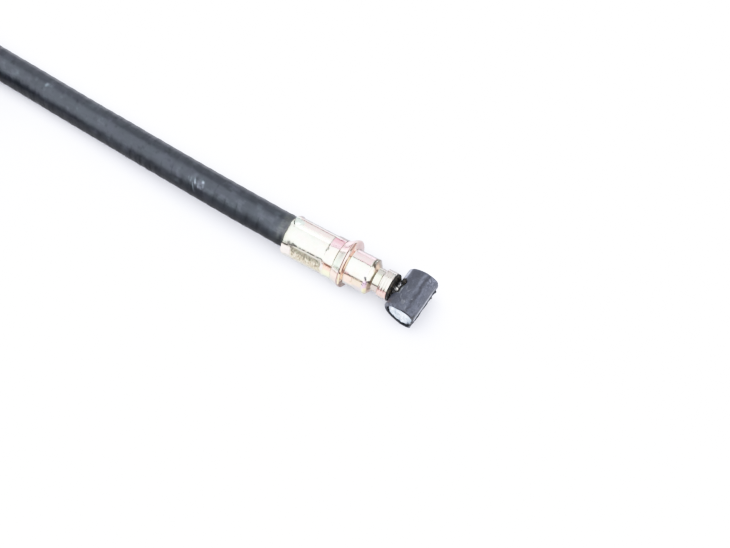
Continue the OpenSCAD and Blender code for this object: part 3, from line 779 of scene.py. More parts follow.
# ---------------------------------------------------------------- lever ferrule
def ferrule():
    m = 240
    phi = (np.arange(m) * 360.0 / m)[None, :]
    outer = along(
        -17.2, -17.12, -17.02, -16.9, (-16.75, -16.2, 0.09), (-16.1, -6.3, 0.115), (-6.25, -5.3, 0.05), (-5.15, -3.35, 0.17),
        (-3.28, -2.92, 0.04), (-2.8, -0.98, 0.13), -0.9, -0.85, -0.8, -0.74, -0.68, -0.5, -0.3, -0.2, -0.14, -0.07, 0.0,
    )
    prof_x = [-17.2, -17.1, -16.95, -16.4, -15.9, -5.8, -5.5, -3.0, -0.9, -0.8, -0.7, -0.2, -0.12, 0.0]
    prof_r = [5.03, 5.16, 5.22, 5.24, 5.24, 5.2, 5.2, 5.2, 5.93, 5.99, 6.08, 6.08, 6.02, 5.86]
    x = outer[:, None] + 0 * phi
    r = np.interp(outer, prof_x, prof_r)[:, None] + 0 * phi
    arc = 5.2 * np.radians(wrap(phi)) + 0 * x
    place = np.stack([x, 5.2 * np.sin(np.radians(phi)) + 0 * x, 5.2 * np.cos(np.radians(phi)) + 0 * x], -1)
    crimped = jaws(phi, [-72.1, 7.5, 87.3, 187.6], 5.0, 6.7, 5.3) + 0 * x
    # the jaws end a little later on the upper rear corner
    start = -16.35 + 1.1 * band(wrap(phi), -44, -12, 7) + 0.25 * perlin(place * np.array([0.0, 0.5, 0.5]))
    w = sm(0, 0.55, x - start) * (1 - sm(-6.06, -5.9, x + 0.08 * perlin(place * np.array([0.0, 0.7, 0.7]))))
    r = r * (1 - w) + crimped * w
    # soft unevenness, flat places and hammer-like waves of the squeezed tube
    r = r + w * 0.03 * fbm(place * 0.33, 3, 4) + 0.006 * fbm(place * 0.7, 2, 5) * sm(-17, -16, x)
    # tooth marks of the rough jaw
    for centre, depth in ((87.3, 0.055), (-72.1, 0.06), (187.6, 0.10)):
        zone = band(wrap(phi - centre), -28, 29, 4) * band(x, -14.4, -5.9, 0.35)
        along_x = np.sin(2 * math.pi * (x / 0.62 + 0.45 * perlin(place * 0.8)))
        across = np.sin(2 * math.pi * (wrap(phi - centre) / 8.0 + 0.45 * perlin(place * 0.7 + 9)))
        teeth = np.clip(along_x, 0, 1) ** 0.8 * (0.35 + 0.65 * np.clip(across + 0.3, 0, 1))
        uneven = np.clip(0.75 + 0.9 * fbm(place * 0.5, 2, 6), 0.15, 1.4)
        r = r - depth * zone * teeth * uneven - 0.04 * zone
    # groove behind the flare, turning marks on the collar
    r = r - 0.11 * bell(x, -3.1, 0.07) + 0.0015 * np.sin(2 * math.pi * x / 0.36) * band(x, -5.4, -3.3, 0.1)
    # small nicks on the flange's rim
    rim = band(x, -0.9, -0.05, 0.05)
    r = r - rim * 0.10 * np.clip(fbm(place * 1.1, 2, 7) - 0.35, 0, 1)
    # ragged rear edge
    rag = 0.16 * fbm(place * np.array([0, 0.9, 0.9]), 3, 8) + 0.22 * bell(wrap(phi - 48), 0, 9) + 0.12 * bell(wrap(phi + 52), 0, 6)
    x = x + (0.22 + 0.8 * rag) * (1 - sm(-17.2, -16.2, x))

    # seat face, spigot, neck, end collar
    face_r = along((5.78, 4.62, 0.11))
    fx = np.zeros(len(face_r))
    fx[-2:] = (0.0, 0.02)
    spig = along(
        (0.06, 5.1, 0.22), (5.2, 5.95, 0.075), (6.05, 6.95, 0.09), (7.05, 8.7, 0.165), (8.78, 9.06, 0.045), (9.12, 11.22, 0.046), 11.28, 11.34, 11.4,
    )
    sx = [0.06, 0.14, 5.25, 5.5, 5.62, 5.9, 6.0, 6.9, 7.0, 8.76, 8.83, 8.97, 9.05, 11.26, 11.34, 11.4]
    sr = [4.56, 4.5, 4.5, 4.54, 4.58, 4.57, 4.5, 3.22, 3.0, 3.0, 3.1, 3.5, 3.6, 3.6, 3.55, 3.46]
    x2 = spig[:, None] + 0 * phi
    r2 = np.interp(spig, sx, sr)[:, None] + 0 * phi
    p2 = np.stack([x2, 4 * np.sin(np.radians(phi)) + 0 * x2, 4 * np.cos(np.radians(phi)) + 0 * x2], -1)
    for c in (9.38, 10.08, 10.73):
        r2 = r2 - (0.03 + 0.055 * band(wrap(phi), 20, 180, 12)) * bell(x2, c, 0.11)
    r2 = r2 + 0.006 * fbm(p2 * 0.3, 2, 9) + 0.0012 * np.sin(2 * math.pi * x2 / 0.42) * band(x2, 0.3, 5.1, 0.2)
    # punch dent at the shoulder's lower edge, and a burr beside it
    for px, pp, wx, wp, depth in ((5.80, 43, 0.34, 5.5, 0.34), (5.45, 60, 0.28, 4.5, 0.08), (6.3, 57, 0.3, 6, 0.06), (5.75, -34, 0.25, 7, 0.10)):
        r2 = r2 - depth * np.exp(-(((x2 - px) / wx) ** 2) - (wrap(phi - pp) / wp) ** 2)
    r2 = r2 + 0.09 * np.exp(-(((x2 - 5.72) / 0.2) ** 2) - (wrap(phi - 74) / 7) ** 2)
    # end face and bores
    ef = [3.38, 3.1, 2.8, 2.52, 2.45]
    inner = [(11.3, 2.42, 0), (10.2, 2.42, 0), (8.62, 2.42, 0), (8.6, 2.2, 0), (4.0, 2.2, 0), (-3.9, 2.2, 0), (-4.0, 2.3, 0),
             (-4.0, 4.1, 0.45), (-4.1, 4.2, 0.45), (-8, 4.2, 0.45), (-12, 4.2, 0.45), (-16, 4.2, 0.45), (-16.95, 4.2, 0.45), (-17.1, 4.32, 0.42)]

    px, pr, pc = [x], [r], [np.zeros_like(x)]
    px.append(fx[:, None] + 0 * phi), pr.append(face_r[:, None] + 0 * phi), pc.append(np.zeros((len(face_r), m)))
    px.append(x2), pr.append(r2), pc.append(np.zeros_like(x2))
    px.append(11.4 + 0 * phi * np.ones((len(ef), 1))), pr.append(np.array(ef)[:, None] + 0 * phi), pc.append(np.zeros((len(ef), m)))
    ix, ir, ic = (np.array([q[k] for q in inner], float)[:, None] for k in range(3))
    rear = np.concatenate([np.zeros((len(inner) - 1, m)), 0.22 + 0.8 * rag[0:1] * np.ones((1, m))])
    px.append(ix + 0 * phi + rear), pr.append(ir + 0 * phi), pc.append(ic + 0 * phi)
    X, R, C = np.concatenate(px), np.concatenate(pr), np.concatenate(pc)
    # small differences of each step's place from the plain dimensions
    moved = np.interp(X, [-17.2, -6.0, -5.0, -3.1, -2.5, -0.9, 0.0, 0.1, 5.5, 6.0, 6.9, 8.8, 9.5, 10.8, 11.4], [0.20, 0.24, 0.18, 0.12, 0.14, 0.24, 0.15, 0.14, -0.16, -0.13, -0.04, -0.11, -0.19, -0.22, -0.12])
    # the flange's rim sits a little off centre and leans back at two sides
    lean = np.where(abs(X) < 0.03, sm(4.7, 5.8, R), sm(-3.0, -0.9, X)) * (X < 0.03) * (R > 4.65)
    high, back = 0.12 + 0.27 * np.cos(np.radians(phi + 52)), 0.35 * np.sin(np.radians(phi - 38)) ** 2
    v = around(X + moved * (X > -17.19) - lean * back, R + lean * high, phi, C)
    nu = len(X)

    # colours of the plating: the film's own cream, rose and green, and, set by the angle about the piece, painted
    # reflections and shade, pinker above and darker or warmer below
    P = wrap(phi) + 0 * X
    A = np.radians(P) * 5.0
    q = v * 1.0
    n1, n2, n3 = fbm(q * 0.30, 3, 12), fbm(q * 0.55, 3, 13), fbm(q * 1.3, 3, 14)
    body = X < 0.01
    out = np.zeros(X.shape)
    out[: len(x) + len(fx) + len(spig)] = 1
    # the pale green corner at the rear lip, between an upper and a lower edge
    upper, lower = np.interp(X, [-16.9, -14.0], [-35, -23]), np.interp(X, [-16.9, -16.1, -14.1], [-22, -5, -17])
    corner = sm(-2, 2, P - upper) * (1 - sm(-1.5, 1.5, P - lower)) * band(X, -17.0, -14.2, 0.2) * out
    patches = [
        (0.35 * sm(0.0, 0.45, n1), ROSE),
        (0.35 * sm(0.0, 0.45, -n1), GREEN),
        (0.30 * sm(0.05, 0.5, n2), (0.90, 0.84, 0.66)),
        # crimp: dull rose above, stone-coloured and toothed below
        (0.75 * band(P, -95, -38, 5) * band(X, -16.2, -3.0, 0.3), (0.74, 0.68, 0.67)),
        (0.80 * band(P, -36, -28, 3) * band(X, -15.6, -6.2, 0.5) * np.clip(1 + 0.5 * n2, 0, 1), (0.62, 0.44, 0.44)),
        (0.70 * band(P, -28, -14, 4) * band(X, -15.6, -6.2, 0.5) * np.clip(1 + 0.6 * n2, 0, 1), (0.90, 0.72, 0.71)),
        (0.75 * band(P, 50, 112, 5) * band(X, -16.9, -6.0, 0.3), (0.84, 0.77, 0.66)),
        (0.55 * band(P, 95, 150, 8) * band(X, -16.9, -3.2, 0.3), (0.84, 0.82, 0.76)),
        # rear lip: pale green corner, dull edge, rose below
        (0.95 * corner, (0.72, 0.81, 0.75)),
                (0.60 * (1 - sm(-16.2, -15.4, X)) * band(P, 58, 92, 6), (1.0, 0.84, 0.78)),
        # collar: strong pink on top, orange then yellow-green below
        (0.96 * band(P, -33 - 2.4 * sm(-5.5, -4.0, X), 1, 3) * band(X, -5.98, -3.15, 0.10), PINK),
        (0.80 * band(P, -12, 3, 3) * band(X, -5.95, -3.15, 0.12), (0.98, 0.70, 0.77)),
        (0.85 * band(P, 50, 72, 5) * band(X, -6.1, -3.15, 0.2), (1.0, 0.66, 0.54)),
        (0.80 * band(P, 72, 98, 5) * band(X, -6.1, -3.1, 0.25), (0.82, 0.79, 0.55)),
        # flare: rose top with pink spots, pale green middle, rose below
        (0.75 * band(P, -95, -38, 5) * band(X, -3.0, -0.9, 0.2), (0.80, 0.68, 0.68)),
        (0.75 * band(P, -38, 4, 6) * band(X, -3.0, -0.9, 0.2), (0.98, 0.74, 0.74)),
        (0.60 * band(P, 20, 50, 8) * band(X, -3.0, -1.1, 0.2), (0.84, 0.90, 0.80)),
        (0.80 * band(P, 52, 84, 6) * band(X, -3.0, -0.85, 0.2), (0.98, 0.74, 0.66)),
        (0.60 * band(P, 84, 120, 8) * band(X, -3.0, -0.85, 0.2), (0.88, 0.78, 0.68)),
        # spigot: pink band on top, peach and gold below
        (0.95 * band(P, -29, -2, 3) * band(X, 0.15, 5.25, 0.15) * np.clip(0.9 + 0.5 * n2, 0, 1), (0.97, 0.66, 0.70)),
        (0.70 * band(P, -95, -44, 3) * band(X, 0.15, 5.2, 0.2), (0.84, 0.76, 0.74)),
        (0.85 * band(P, 52, 84, 5) * band(X, 0.15, 5.3, 0.2), PEACH),
        (0.70 * band(P, 84, 130, 8) * band(X, 0.15, 5.3, 0.2), (0.74, 0.68, 0.63)),
        (0.50 * band(P, 62, 82, 5) * band(X, 1.4, 3.8, 0.5) * sm(-0.1, 0.4, n2), (0.66, 0.54, 0.36)),
        # lip and shoulder: lilac and cream in the middle, brown above and below
        (0.55 * band(P, 8, 36, 6) * band(X, 4.9, 5.6, 0.15), (0.86, 0.76, 0.90)),
        # neck: cream and pale green, rosy above and below; end collar cream with rosy lower side
        (0.70 * band(X, 7.0, 8.75, 0.1) * band(P, -95, -6, 8), (0.78, 0.72, 0.68)),
        (0.75 * band(X, 7.0, 8.75, 0.1) * band(P, 52, 130, 7), (0.80, 0.64, 0.56)),
        (0.60 * band(X, 8.85, 11.5, 0.1) * band(P, -95, -4, 8), (0.80, 0.75, 0.74)),
        (0.60 * band(X, 8.75, 9.2, 0.1) * band(P, -60, 10, 8), (0.78, 0.66, 0.66)),
        (0.60 * band(X, 8.85, 11.5, 0.1) * band(P, 92, 140, 8), (0.72, 0.66, 0.64)),
    ]
    # painted shade: the end collar's grooves a little darker
    for c in (9.38, 10.08, 10.73):
        patches.append((0.22 * bell(X, c, 0.14) * (R > 3.2), (0.62, 0.52, 0.50)))
    # painted shade: the plating's colour is darkened along its top and lower sides, and less on the flank between them
    flare, spigot = band(X, -3.0, -1.0, 0.08), (X > 0.02) * (X < 5.6)
    top = np.where(flare > 0.5, -29, np.where(spigot, -34, -38))
    painted_side_shade = 1.0 - 0.66 * (1 - sm(-4, 2, P - top)) - 0.24 * (X > 6.9) * band(P, -36, -4, 4) - 0.42 * band(P, -1 + 4 * flare, 180, 2) + 0.10 * sm(48, 54, P) + 0.40 * flare * band(P, 46, 55, 2)
    painted_side_shade = painted_side_shade * (1 - 0.40 * (1 - sm(-56, -48, P)) * (X < 5.4))
    painted_side_shade = np.where(out > 0, painted_side_shade, 0.6)[..., None] * (1 - (1 - sm(-4, 4, P - top))[..., None] * np.array([0.02, 0.10, 0.12]))
    tint = painted(X.shape, patches)[..., :3] * painted_side_shade
    n4 = fbm(q * np.array([1.1, 0.45, 0.45]), 3, 16)
    cone = band(X, 5.98, 6.98, 0.07) * out
    rim = band(X, -0.68, 0.02, 0.05) * (R > 5.62)
    face = (X > -0.03) * (X < 0.05) * (R > 4.6) * (R < 5.9)
    zone = band(wrap(P - 87.3), -32, 27, 3) * band(X, -14.4, -5.9, 0.3)
    n5 = fbm(q * np.array([3.8, 1.3, 1.3]), 3, 18)
    streaks = np.clip(0.34 + 0.34 * np.sin(2 * math.pi * (X / 0.37 + 0.7 * n4)) + 1.5 * n5, 0, 1)
    # more colours set by place and angle, many of them painted reflection and painted shade, with a few painted
    # highlights
    overrides = [
        # rear lip, duller
        (0.80 * (1 - sm(-16.9, -16.0, X)) * band(P, 5, 52, 6), (0.29, 0.30, 0.265)),
        (0.35 * (1 - sm(-16.0, -14.6, X)) * band(P, 5, 50, 8) * np.clip(0.6 + n2, 0, 1), (0.38, 0.40, 0.33)),
        # toothed patch: a painted highlight along its light edge, olive painted shade under the ridge, cream lower
        # down, all crossed by streaks
        (0.86 * band(P, 52.5, 71, 5) * band(X, -14.4, -5.95, 0.2) * np.clip(0.90 + 0.4 * n2, 0, 1), (0.315, 0.285, 0.205)),
        (0.80 * zone * band(P, 70, 102, 6), (0.71, 0.59, 0.425)),
        (0.82 * zone * streaks * (1 - 0.44 * sm(70, 96, P)) * sm(50, 56, P), (0.18, 0.155, 0.11)),
        (0.75 * sm(0.25, 0.6, fbm(q * np.array([1.5, 1.8, 1.8]), 3, 20)) * zone * band(P, 52, 66, 3), (0.12, 0.11, 0.085)),
        (0.50 * zone * np.clip(1 - 1.6 * streaks, 0, 1) * sm(58, 74, P) * np.clip(0.6 + n2, 0, 1), (0.95, 0.88, 0.72)),
        (0.90 * stroke(X, A, [(-14.0, 4.46), (-10.0, 4.42), (-6.2, 4.42)], 0.10), (0.90, 0.84, 0.74)),
        (0.60 * band(P, 58, 92, 5) * band(X, -17.0, -14.5, 0.3), (1.0, 0.83, 0.76)),
        (0.60 * stroke(X, A, [(-6.0, 4.4), (-5.5, 6.5), (-5.3, 9.0)], 0.30), (0.78, 0.74, 0.62)),
        # painted dark reflection: a thin rosy line along the upper ridge
        (0.90 * np.clip(1.3 * stroke(X, A, [(-16.8, -3.75), (-15.4, -3.3), (-14.2, -2.85), (-12.2, -2.72), (-6.2, -2.65)], 0.20), 0, 1) * np.clip(0.8 + 0.7 * n3, 0, 1), (0.47, 0.345, 0.35)),
        (0.60 * stroke(X, A, [(-14.2, -2.85), (-12.2, -2.72)], 0.14), (0.34, 0.24, 0.22)),
        (0.90 * stroke(X, A, [(-4.3, -3.35), (-3.3, -3.4)], 0.25), (0.36, 0.28, 0.27)),
        (0.40 * band(P, -27, -9, 4) * band(X, -14.0, -6.1, 0.4) * np.clip(0.7 + 1.2 * n2, 0, 1), (0.96, 0.76, 0.77)),
        # collar and flare below
        (0.80 * band(P, 54, 72, 3) * band(X, -5.3, -3.2, 0.3), (0.95, 0.57, 0.44)),
        (0.70 * band(P, 54, 80, 4) * band(X, -6.1, -5.3, 0.2), (0.80, 0.70, 0.66)),
        (0.85 * band(P, 70, 92, 5) * band(X, -5.2, -3.1, 0.3), (0.84, 0.82, 0.52)),
        (0.60 * band(P, 92, 115, 6) * band(X, -5.2, -3.1, 0.3), (0.58, 0.64, 0.50)),
        (0.92 * np.clip(1.3 * stroke(X, A, [(-5.0, 4.68), (-3.3, 4.72)], 0.20), 0, 1), (0.26, 0.135, 0.095)),
        (0.75 * band(P, 59, 76, 4) * band(X, -2.95, -0.95, 0.15), (0.95, 0.68, 0.56)),
        (0.65 * band(P, 76, 92, 5) * band(X, -2.95, -0.95, 0.15), (0.76, 0.60, 0.52)),
        (0.35 * band(P, 28, 46, 4) * band(X, -2.6, -1.1, 0.2), (0.40, 0.50, 0.42)),
        (0.60 * np.exp(-(((X + 2.2) / 0.35) ** 2) - ((P + 8) / 3.0) ** 2), (0.72, 0.42, 0.50)),
        (0.55 * np.exp(-(((X + 1.3) / 0.2) ** 2) - ((P + 12) / 3.5) ** 2), (0.40, 0.44, 0.36)),
        (0.50 * np.exp(-(((X + 1.25) / 0.2) ** 2) - ((P - 20) / 9) ** 2), (0.52, 0.38, 0.38)),
        (0.85 * band(P, -46, -2, 4) * band(X, -2.95, -1.0, 0.12), (0.80, 0.56, 0.57)),
        (0.55 * np.exp(-(((X + 2.1) / 0.30) ** 2) - ((P + 10) / 4.0) ** 2), (0.66, 0.38, 0.46)),
        # painted shade in the line behind the rim, and the rim itself in painted reflection and shade: rose above,
        # copper brown below, with a gold painted highlight across it
        (0.92 * band(X, -1.04, -0.72, 0.05) * (R > 5.6) * band(P, -180, -4, 4), (0.50, 0.29, 0.28)),
        (0.92 * band(X, -1.04, -0.72, 0.05) * (R > 5.6) * band(P, -4, 54, 4), (0.19, 0.115, 0.11)),
        (0.92 * band(X, -1.04, -0.72, 0.05) * (R > 5.6) * band(P, 54, 180, 4), (0.34, 0.20, 0.17)),
        (0.90 * rim * band(P, -180, -60, 6), (0.50, 0.41, 0.39)),
        (0.90 * rim * band(P, -60, -28, 4), (0.52, 0.35, 0.32)),
        (0.95 * rim * band(P, -28, -4, 4), (0.44, 0.26, 0.22)),
        (0.95 * rim * band(P, -4, 30, 3), (0.50, 0.38, 0.355)),
        (0.95 * rim * band(P, 28, 45, 4), (0.42, 0.28, 0.225)),
        (0.92 * rim * band(P, 44, 60, 3), (0.50, 0.33, 0.24)),
        (0.95 * rim * band(P, 61, 73, 3), (0.40, 0.25, 0.19)),
        (0.95 * rim * band(P, 73, 105, 4), (0.32, 0.23, 0.21)),
        (0.90 * rim * band(P, 105, 180, 6), (0.50, 0.43, 0.40)),
        (0.95 * band(X, -0.26, 0.01, 0.04) * (R > 5.7) * band(P, 18, 47, 4), (0.13, 0.08, 0.065)),
        (0.92 * stroke(X, A, [(-0.42, 4.8), (-0.30, 5.9), (-0.16, 7.5)], 0.17) * (X < 0.01) * (X > -1.0), (0.98, 0.78, 0.50)),
        # seat face, with painted shade on its lower part
        (0.90 * face * band(P, -180, -22, 8), (0.44, 0.28, 0.26)),
        (0.85 * face * band(P, -22, 40, 6), (0.84, 0.52, 0.40)),
        (0.92 * face * band(P, 40, 56, 4), (0.55, 0.32, 0.24)),
        (0.92 * face * band(P, 56, 80, 4), (0.90, 0.66, 0.50)),
        (0.92 * face * band(P, 82, 180, 5) * np.clip(0.85 + 0.5 * n3, 0, 1), (0.33, 0.16, 0.11)),
        (0.92 * band(P, -43, -29, 2.5) * band(X, 0.30, 5.25, 0.12), (0.78, 0.56, 0.60)),
        (0.92 * np.clip(1.2 * bell(P, -45, 2.2), 0, 1) * band(X, 0.30, 5.25, 0.12), (0.27, 0.20, 0.205)),
        # shoulder: painted shade on its dark edge above, tan cone with a cream painted highlight, olive and copper
        # lower down
        
        (0.92 * cone * band(P, -180, -42, 6), (0.25, 0.205, 0.170)),
        (0.92 * cone * band(P, -42, -16, 5), (0.235, 0.165, 0.125)),
        (0.92 * cone * band(P, -16, -4, 4), (0.30, 0.24, 0.19)),
        (0.70 * cone * band(P, -4, 12, 4) * (1 - sm(6.55, 6.7, X)), (0.98, 0.93, 0.80)),
        (0.75 * cone * band(P, -30, 10, 5) * sm(6.25, 6.45, X), (0.56, 0.41, 0.30)),
        (0.95 * cone * (1 - sm(6.50, 6.66, X)) * band(P, 8, 46, 4), (0.98, 0.94, 0.82)),
        
        (0.92 * cone * band(P, 46, 80, 5), (0.50, 0.38, 0.30)),
        (0.92 * cone * band(P, 80, 180, 6), (0.60, 0.43, 0.36)),
        (0.85 * cone * sm(6.36, 6.5, X) * band(P, 50, 96, 5), (0.30, 0.215, 0.155)),
        (0.90 * bell(X, 6.70 + 0.004 * P, 0.13) * band(P, 2, 30, 6) * out, (0.40, 0.36, 0.24)),
        (0.90 * bell(X, 6.66 + 0.004 * P, 0.20) * band(P, 24, 64, 6) * out, (0.31, 0.27, 0.19)),
        (0.92 * np.clip(1.4 * bell(X, 5.50 + 0.004 * (P + 60), 0.20), 0, 1) * band(P, -80, -14, 5) * out, (0.15, 0.115, 0.085)),
        (0.90 * band(X, 5.55, 6.35, 0.12) * band(P, -17, -4, 3) * out, (0.13, 0.095, 0.07)),
        (0.88 * np.clip(1.2 * stroke(X, A, [(5.55, 3.25), (5.75, 3.7), (5.95, 4.3)], 0.24), 0, 1) * (R > 4.0), (0.15, 0.13, 0.165)),
        (0.88 * band(X, 5.40, 6.25, 0.15) * band(P, 49, 64, 3), (0.56, 0.39, 0.50)),
        (0.88 * band(X, 5.50, 6.30, 0.15) * band(P, 62, 76, 3), (0.76, 0.50, 0.61)),
        (0.85 * band(X, 5.65, 6.35, 0.15) * band(P, 75, 92, 4), (0.90, 0.76, 0.42)),
        (0.80 * band(X, 5.50, 6.35, 0.12) * band(P, 92, 112, 4), (0.68, 0.66, 0.40)),
        (0.75 * band(P, 46, 57, 2) * band(X, 0.1, 1.3, 0.2) * spigot, (0.40, 0.235, 0.25)),
        (0.75 * band(P, 57, 88, 4) * band(X, 0.15, 2.8, 0.5) * spigot, (0.98, 0.67, 0.53)),
        (0.60 * band(P, 57, 80, 4) * band(X, 2.8, 5.2, 0.4) * spigot, (0.90, 0.69, 0.50)),
        (0.50 * band(P, 80, 115, 5) * band(X, 3.4, 5.5, 0.5) * spigot, (0.68, 0.57, 0.60)),
        (0.85 * stroke(X, A, [(2.45, 5.3), (2.55, 5.8), (2.4, 6.4), (2.1, 6.7)], 0.13) * spigot, (0.42, 0.33, 0.24)),
        (0.60 * stroke(X, A, [(3.0, 5.3), (3.5, 5.7), (4.4, 5.6)], 0.10) * spigot, (0.52, 0.42, 0.32)),
        # neck and end collar: darker olive across the flank between -4 and 50 degrees, rosy above and below
        (0.85 * band(X, 7.1, 8.75, 0.08) * band(P, -4, 50, 5), (0.43, 0.44, 0.36)),
        (0.85 * band(X, 8.8, 11.5, 0.08) * band(P, -4, 50, 5), (0.46, 0.435, 0.41)),
        (0.50 * band(X, 8.8, 11.5, 0.08) * band(P, -40, 2, 8) * np.clip(0.5 + 0.8 * fbm(q * np.array([3.0, 0.4, 0.4]), 2, 19), 0, 1), (0.80, 0.66, 0.66)),
        (0.85 * band(X, 8.85, 11.5, 0.1) * band(P, 54, 88, 6), (0.74, 0.47, 0.42)),
    ]
    # painted shade along the step from the neck to the end collar, and beside the collar's grooves
    overrides.append((0.70 * np.clip(1.3 * stroke(X, A, [(8.70, -1.0), (8.78, 1.2), (9.02, 3.2), (9.10, 4.6)], 0.12), 0, 1) * out, (0.24, 0.20, 0.19)))
    overrides.append((0.75 * stroke(X, A, [(8.74, -6.5), (8.80, -2.2)], 0.10) * out, (0.55, 0.40, 0.42)))
    overrides.append((0.75 * stroke(X, A, [(9.05, 4.4), (8.95, 5.4), (8.85, 7.0)], 0.14) * out, (0.36, 0.15, 0.14)))
    for c in (9.38, 10.08, 10.73):
        overrides.append((0.92 * bell(X, c - 0.04, 0.13) * band(P, 43 + 2 * (c > 10), 62, 4) * (R > 3.2), (0.13, 0.05, 0.05)))
        overrides.append((0.40 * bell(X, c, 0.12) * band(P, 10, 46, 14) * (R > 3.2), (0.26, 0.22, 0.19)))
    for w, colour in overrides:
        w = np.clip(np.broadcast_to(w, X.shape), 0, 1)[..., None]
        tint = tint * (1 - w) + np.array(colour) * w
    tint = np.concatenate([tint, np.ones((*X.shape, 1))], -1)
    deg = math.pi / 180 * 5.0

    def marked(points, width, force=1.0):
        return np.clip(force * stroke(X, A, [(px, pp * deg) for px, pp in points], width), 0, 1)

    # A and the strokes use degrees about the piece as arc lengths at r 5; the dark marks are dirt and painted shade:
    # the dark lines along the ridges, the spigot's lower flank and the shoulder's edge, the groove behind the flare,
    # the seat face's lower part and the bores are painted shade, with dirt at the rear edge and darker low places
    # between the teeth
    blot = np.clip(0.5 + 1.6 * n3, 0, 1)
    dirt_and_shade = 0.88 * np.clip(1.6 * np.exp(-(((X + 14.7 - 0.06 * (P - 48)) / 0.85) ** 2) - ((P - 48) / 6.5) ** 2), 0, 1) * np.clip(0.95 + 0.9 * fbm(q * 1.6, 3, 15), 0, 1)
    dirt_and_shade = np.maximum(dirt_and_shade, 0.9 * marked([(-14.2, 45), (-13.1, 46.5)], 0.24, 1.5))
    dirt_and_shade = np.maximum(dirt_and_shade, marked([(-14.9, 54.5), (-14.3, 54)], 0.30, 1.3) * np.clip(0.85 + 0.8 * n3, 0, 1))
    dirt_and_shade = np.maximum(dirt_and_shade, marked([(-16.9, 56), (-14.4, 55.5)], 0.23, 1.6) * np.clip(blot + 0.6, 0, 1))
    dirt_and_shade = np.maximum(dirt_and_shade, marked([(-15.4, 52), (-12.9, 47.2)], 0.22))
    dirt_and_shade = np.maximum(dirt_and_shade, 0.93 * marked([(-13.2, 47.0), (-10, 46.8), (-6.2, 46.4)], 0.21, 1.35) * np.clip(0.90 + 0.4 * n3, 0, 1))
    dirt_and_shade = np.maximum(dirt_and_shade, 0.93 * marked([(-6.2, 46.4), (-5.3, 51.8), (-4.9, 53.0)], 0.18, 1.1) * np.clip(0.85 + 0.5 * n3, 0, 1))
    dirt_and_shade = np.maximum(dirt_and_shade, 0.62 * marked([(5.5, -30), (5.62, -18), (5.95, -10), (6.2, -7)], 0.27, 1.2) * out)
    dirt_and_shade = np.maximum(dirt_and_shade, 0.50 * face * band(P, 84, 150, 5))
    dirt_and_shade = np.maximum(dirt_and_shade, 0.72 * marked([(-2.75, 57.5), (-1.3, 57)], 0.19, 1.1) * np.clip(blot + 0.4, 0, 1))
    dirt_and_shade = np.maximum(dirt_and_shade, 0.55 * marked([(-14.4, -47), (-10, -48), (-6, -47)], 0.13) * np.clip(blot + 0.2, 0, 1))
    dirt_and_shade = np.maximum(dirt_and_shade, marked([(-16.85, -22), (-16.45, -9), (-16.1, -4.5)], 0.17, 1.6) * np.clip(0.9 + 0.6 * n3, 0, 1))
    dirt_and_shade = np.maximum(dirt_and_shade, 0.55 * marked([(-16.1, -4.5), (-15.3, -8), (-14.2, -16)], 0.14))
    dirt_and_shade = np.maximum(dirt_and_shade, 0.80 * bell(X, -17.0, 0.17) * band(P, -45, 58, 4) * np.clip(blot + 0.2, 0, 1))
    dirt_and_shade = np.maximum(dirt_and_shade, 0.80 * marked([(-6.05, -30), (-6.08, -12), (-6.10, -1)], 0.17, 1.1))
    dirt_and_shade = np.maximum(dirt_and_shade, 0.86 * marked([(-6.05, -2), (-5.98, 10), (-6.05, 20)], 0.22, 1.3) * np.clip(0.85 + 0.6 * n3, 0, 1))
    dirt_and_shade = np.maximum(dirt_and_shade, 0.80 * marked([(-5.9, 11), (-5.75, 14)], 0.28, 1.3))
    dirt_and_shade = np.maximum(dirt_and_shade, 0.55 * marked([(-5.5, 3.5), (-4.6, 0.5), (-3.3, -1.5)], 0.13))
    dirt_and_shade = np.maximum(dirt_and_shade, 0.84 * bell(X, -3.1, 0.125) * (R > 4.9) * np.clip(0.85 + 0.6 * n2, 0, 1) * band(P, -60, 36, 8))
    dirt_and_shade = np.maximum(dirt_and_shade, 0.96 * marked([(1.2, 59.5 * 0.9), (5.3, 60.5 * 0.9)], 0.25, 1.3) * (X > 0.12) * (R < 4.8) * np.clip(0.95 + 0.6 * n3, 0, 1))
    dirt_and_shade = np.maximum(dirt_and_shade, 0.50 * marked([(0.2, 59 * 0.9), (1.6, 59 * 0.9)], 0.18) * (X > 0.12) * (R < 4.8))
    dirt_and_shade = np.maximum(dirt_and_shade, 0.90 * band(P, 51, 58, 1.5) * band(X, 7.0, 8.75, 0.1))
    dirt_and_shade = np.maximum(dirt_and_shade, 0.75 * bell(X, 6.02, 0.09) * band(P, -75, -5, 5) * (R > 4.2))
    dirt_and_shade = np.maximum(dirt_and_shade, 0.25 * bell(X, 5.95, 0.10) * band(P, 0, 30, 5) * (R > 4.2))
    dirt_and_shade = np.maximum(dirt_and_shade, 0.50 * bell(X, 8.82, 0.12) * band(P, -60, 48, 5) * (R < 3.6))
    low = np.clip((5.06 - R) / 0.16, 0, 1) * zone
    dirt_and_shade = np.maximum(dirt_and_shade, 0.60 * low * zone * np.clip(0.6 + 0.8 * n3, 0, 1) * np.clip(1.15 - (P - 60) / 60, 0.25, 1))
    for gx, ga, gw, gs in ((5.80, 3.70, 0.22, 0.9), (5.50, 3.30, 0.18, 0.75), (5.95, 3.95, 0.15, 0.8), (-14.2, 3.5, 0.12, 0.6), (-16.1, 4.3, 0.2, 0.6), (6.95, 7.4, 0.30, 0.85)):
        dirt_and_shade = np.maximum(dirt_and_shade, gs * np.clip(1.4 * np.exp(-((X - gx) ** 2 + (A - ga) ** 2) / gw**2) * (0.9 + 0.5 * n3), 0, 1))
    dirt_and_shade = np.maximum(dirt_and_shade, 0.7 * (X > 11.3) * (R < 3.3))
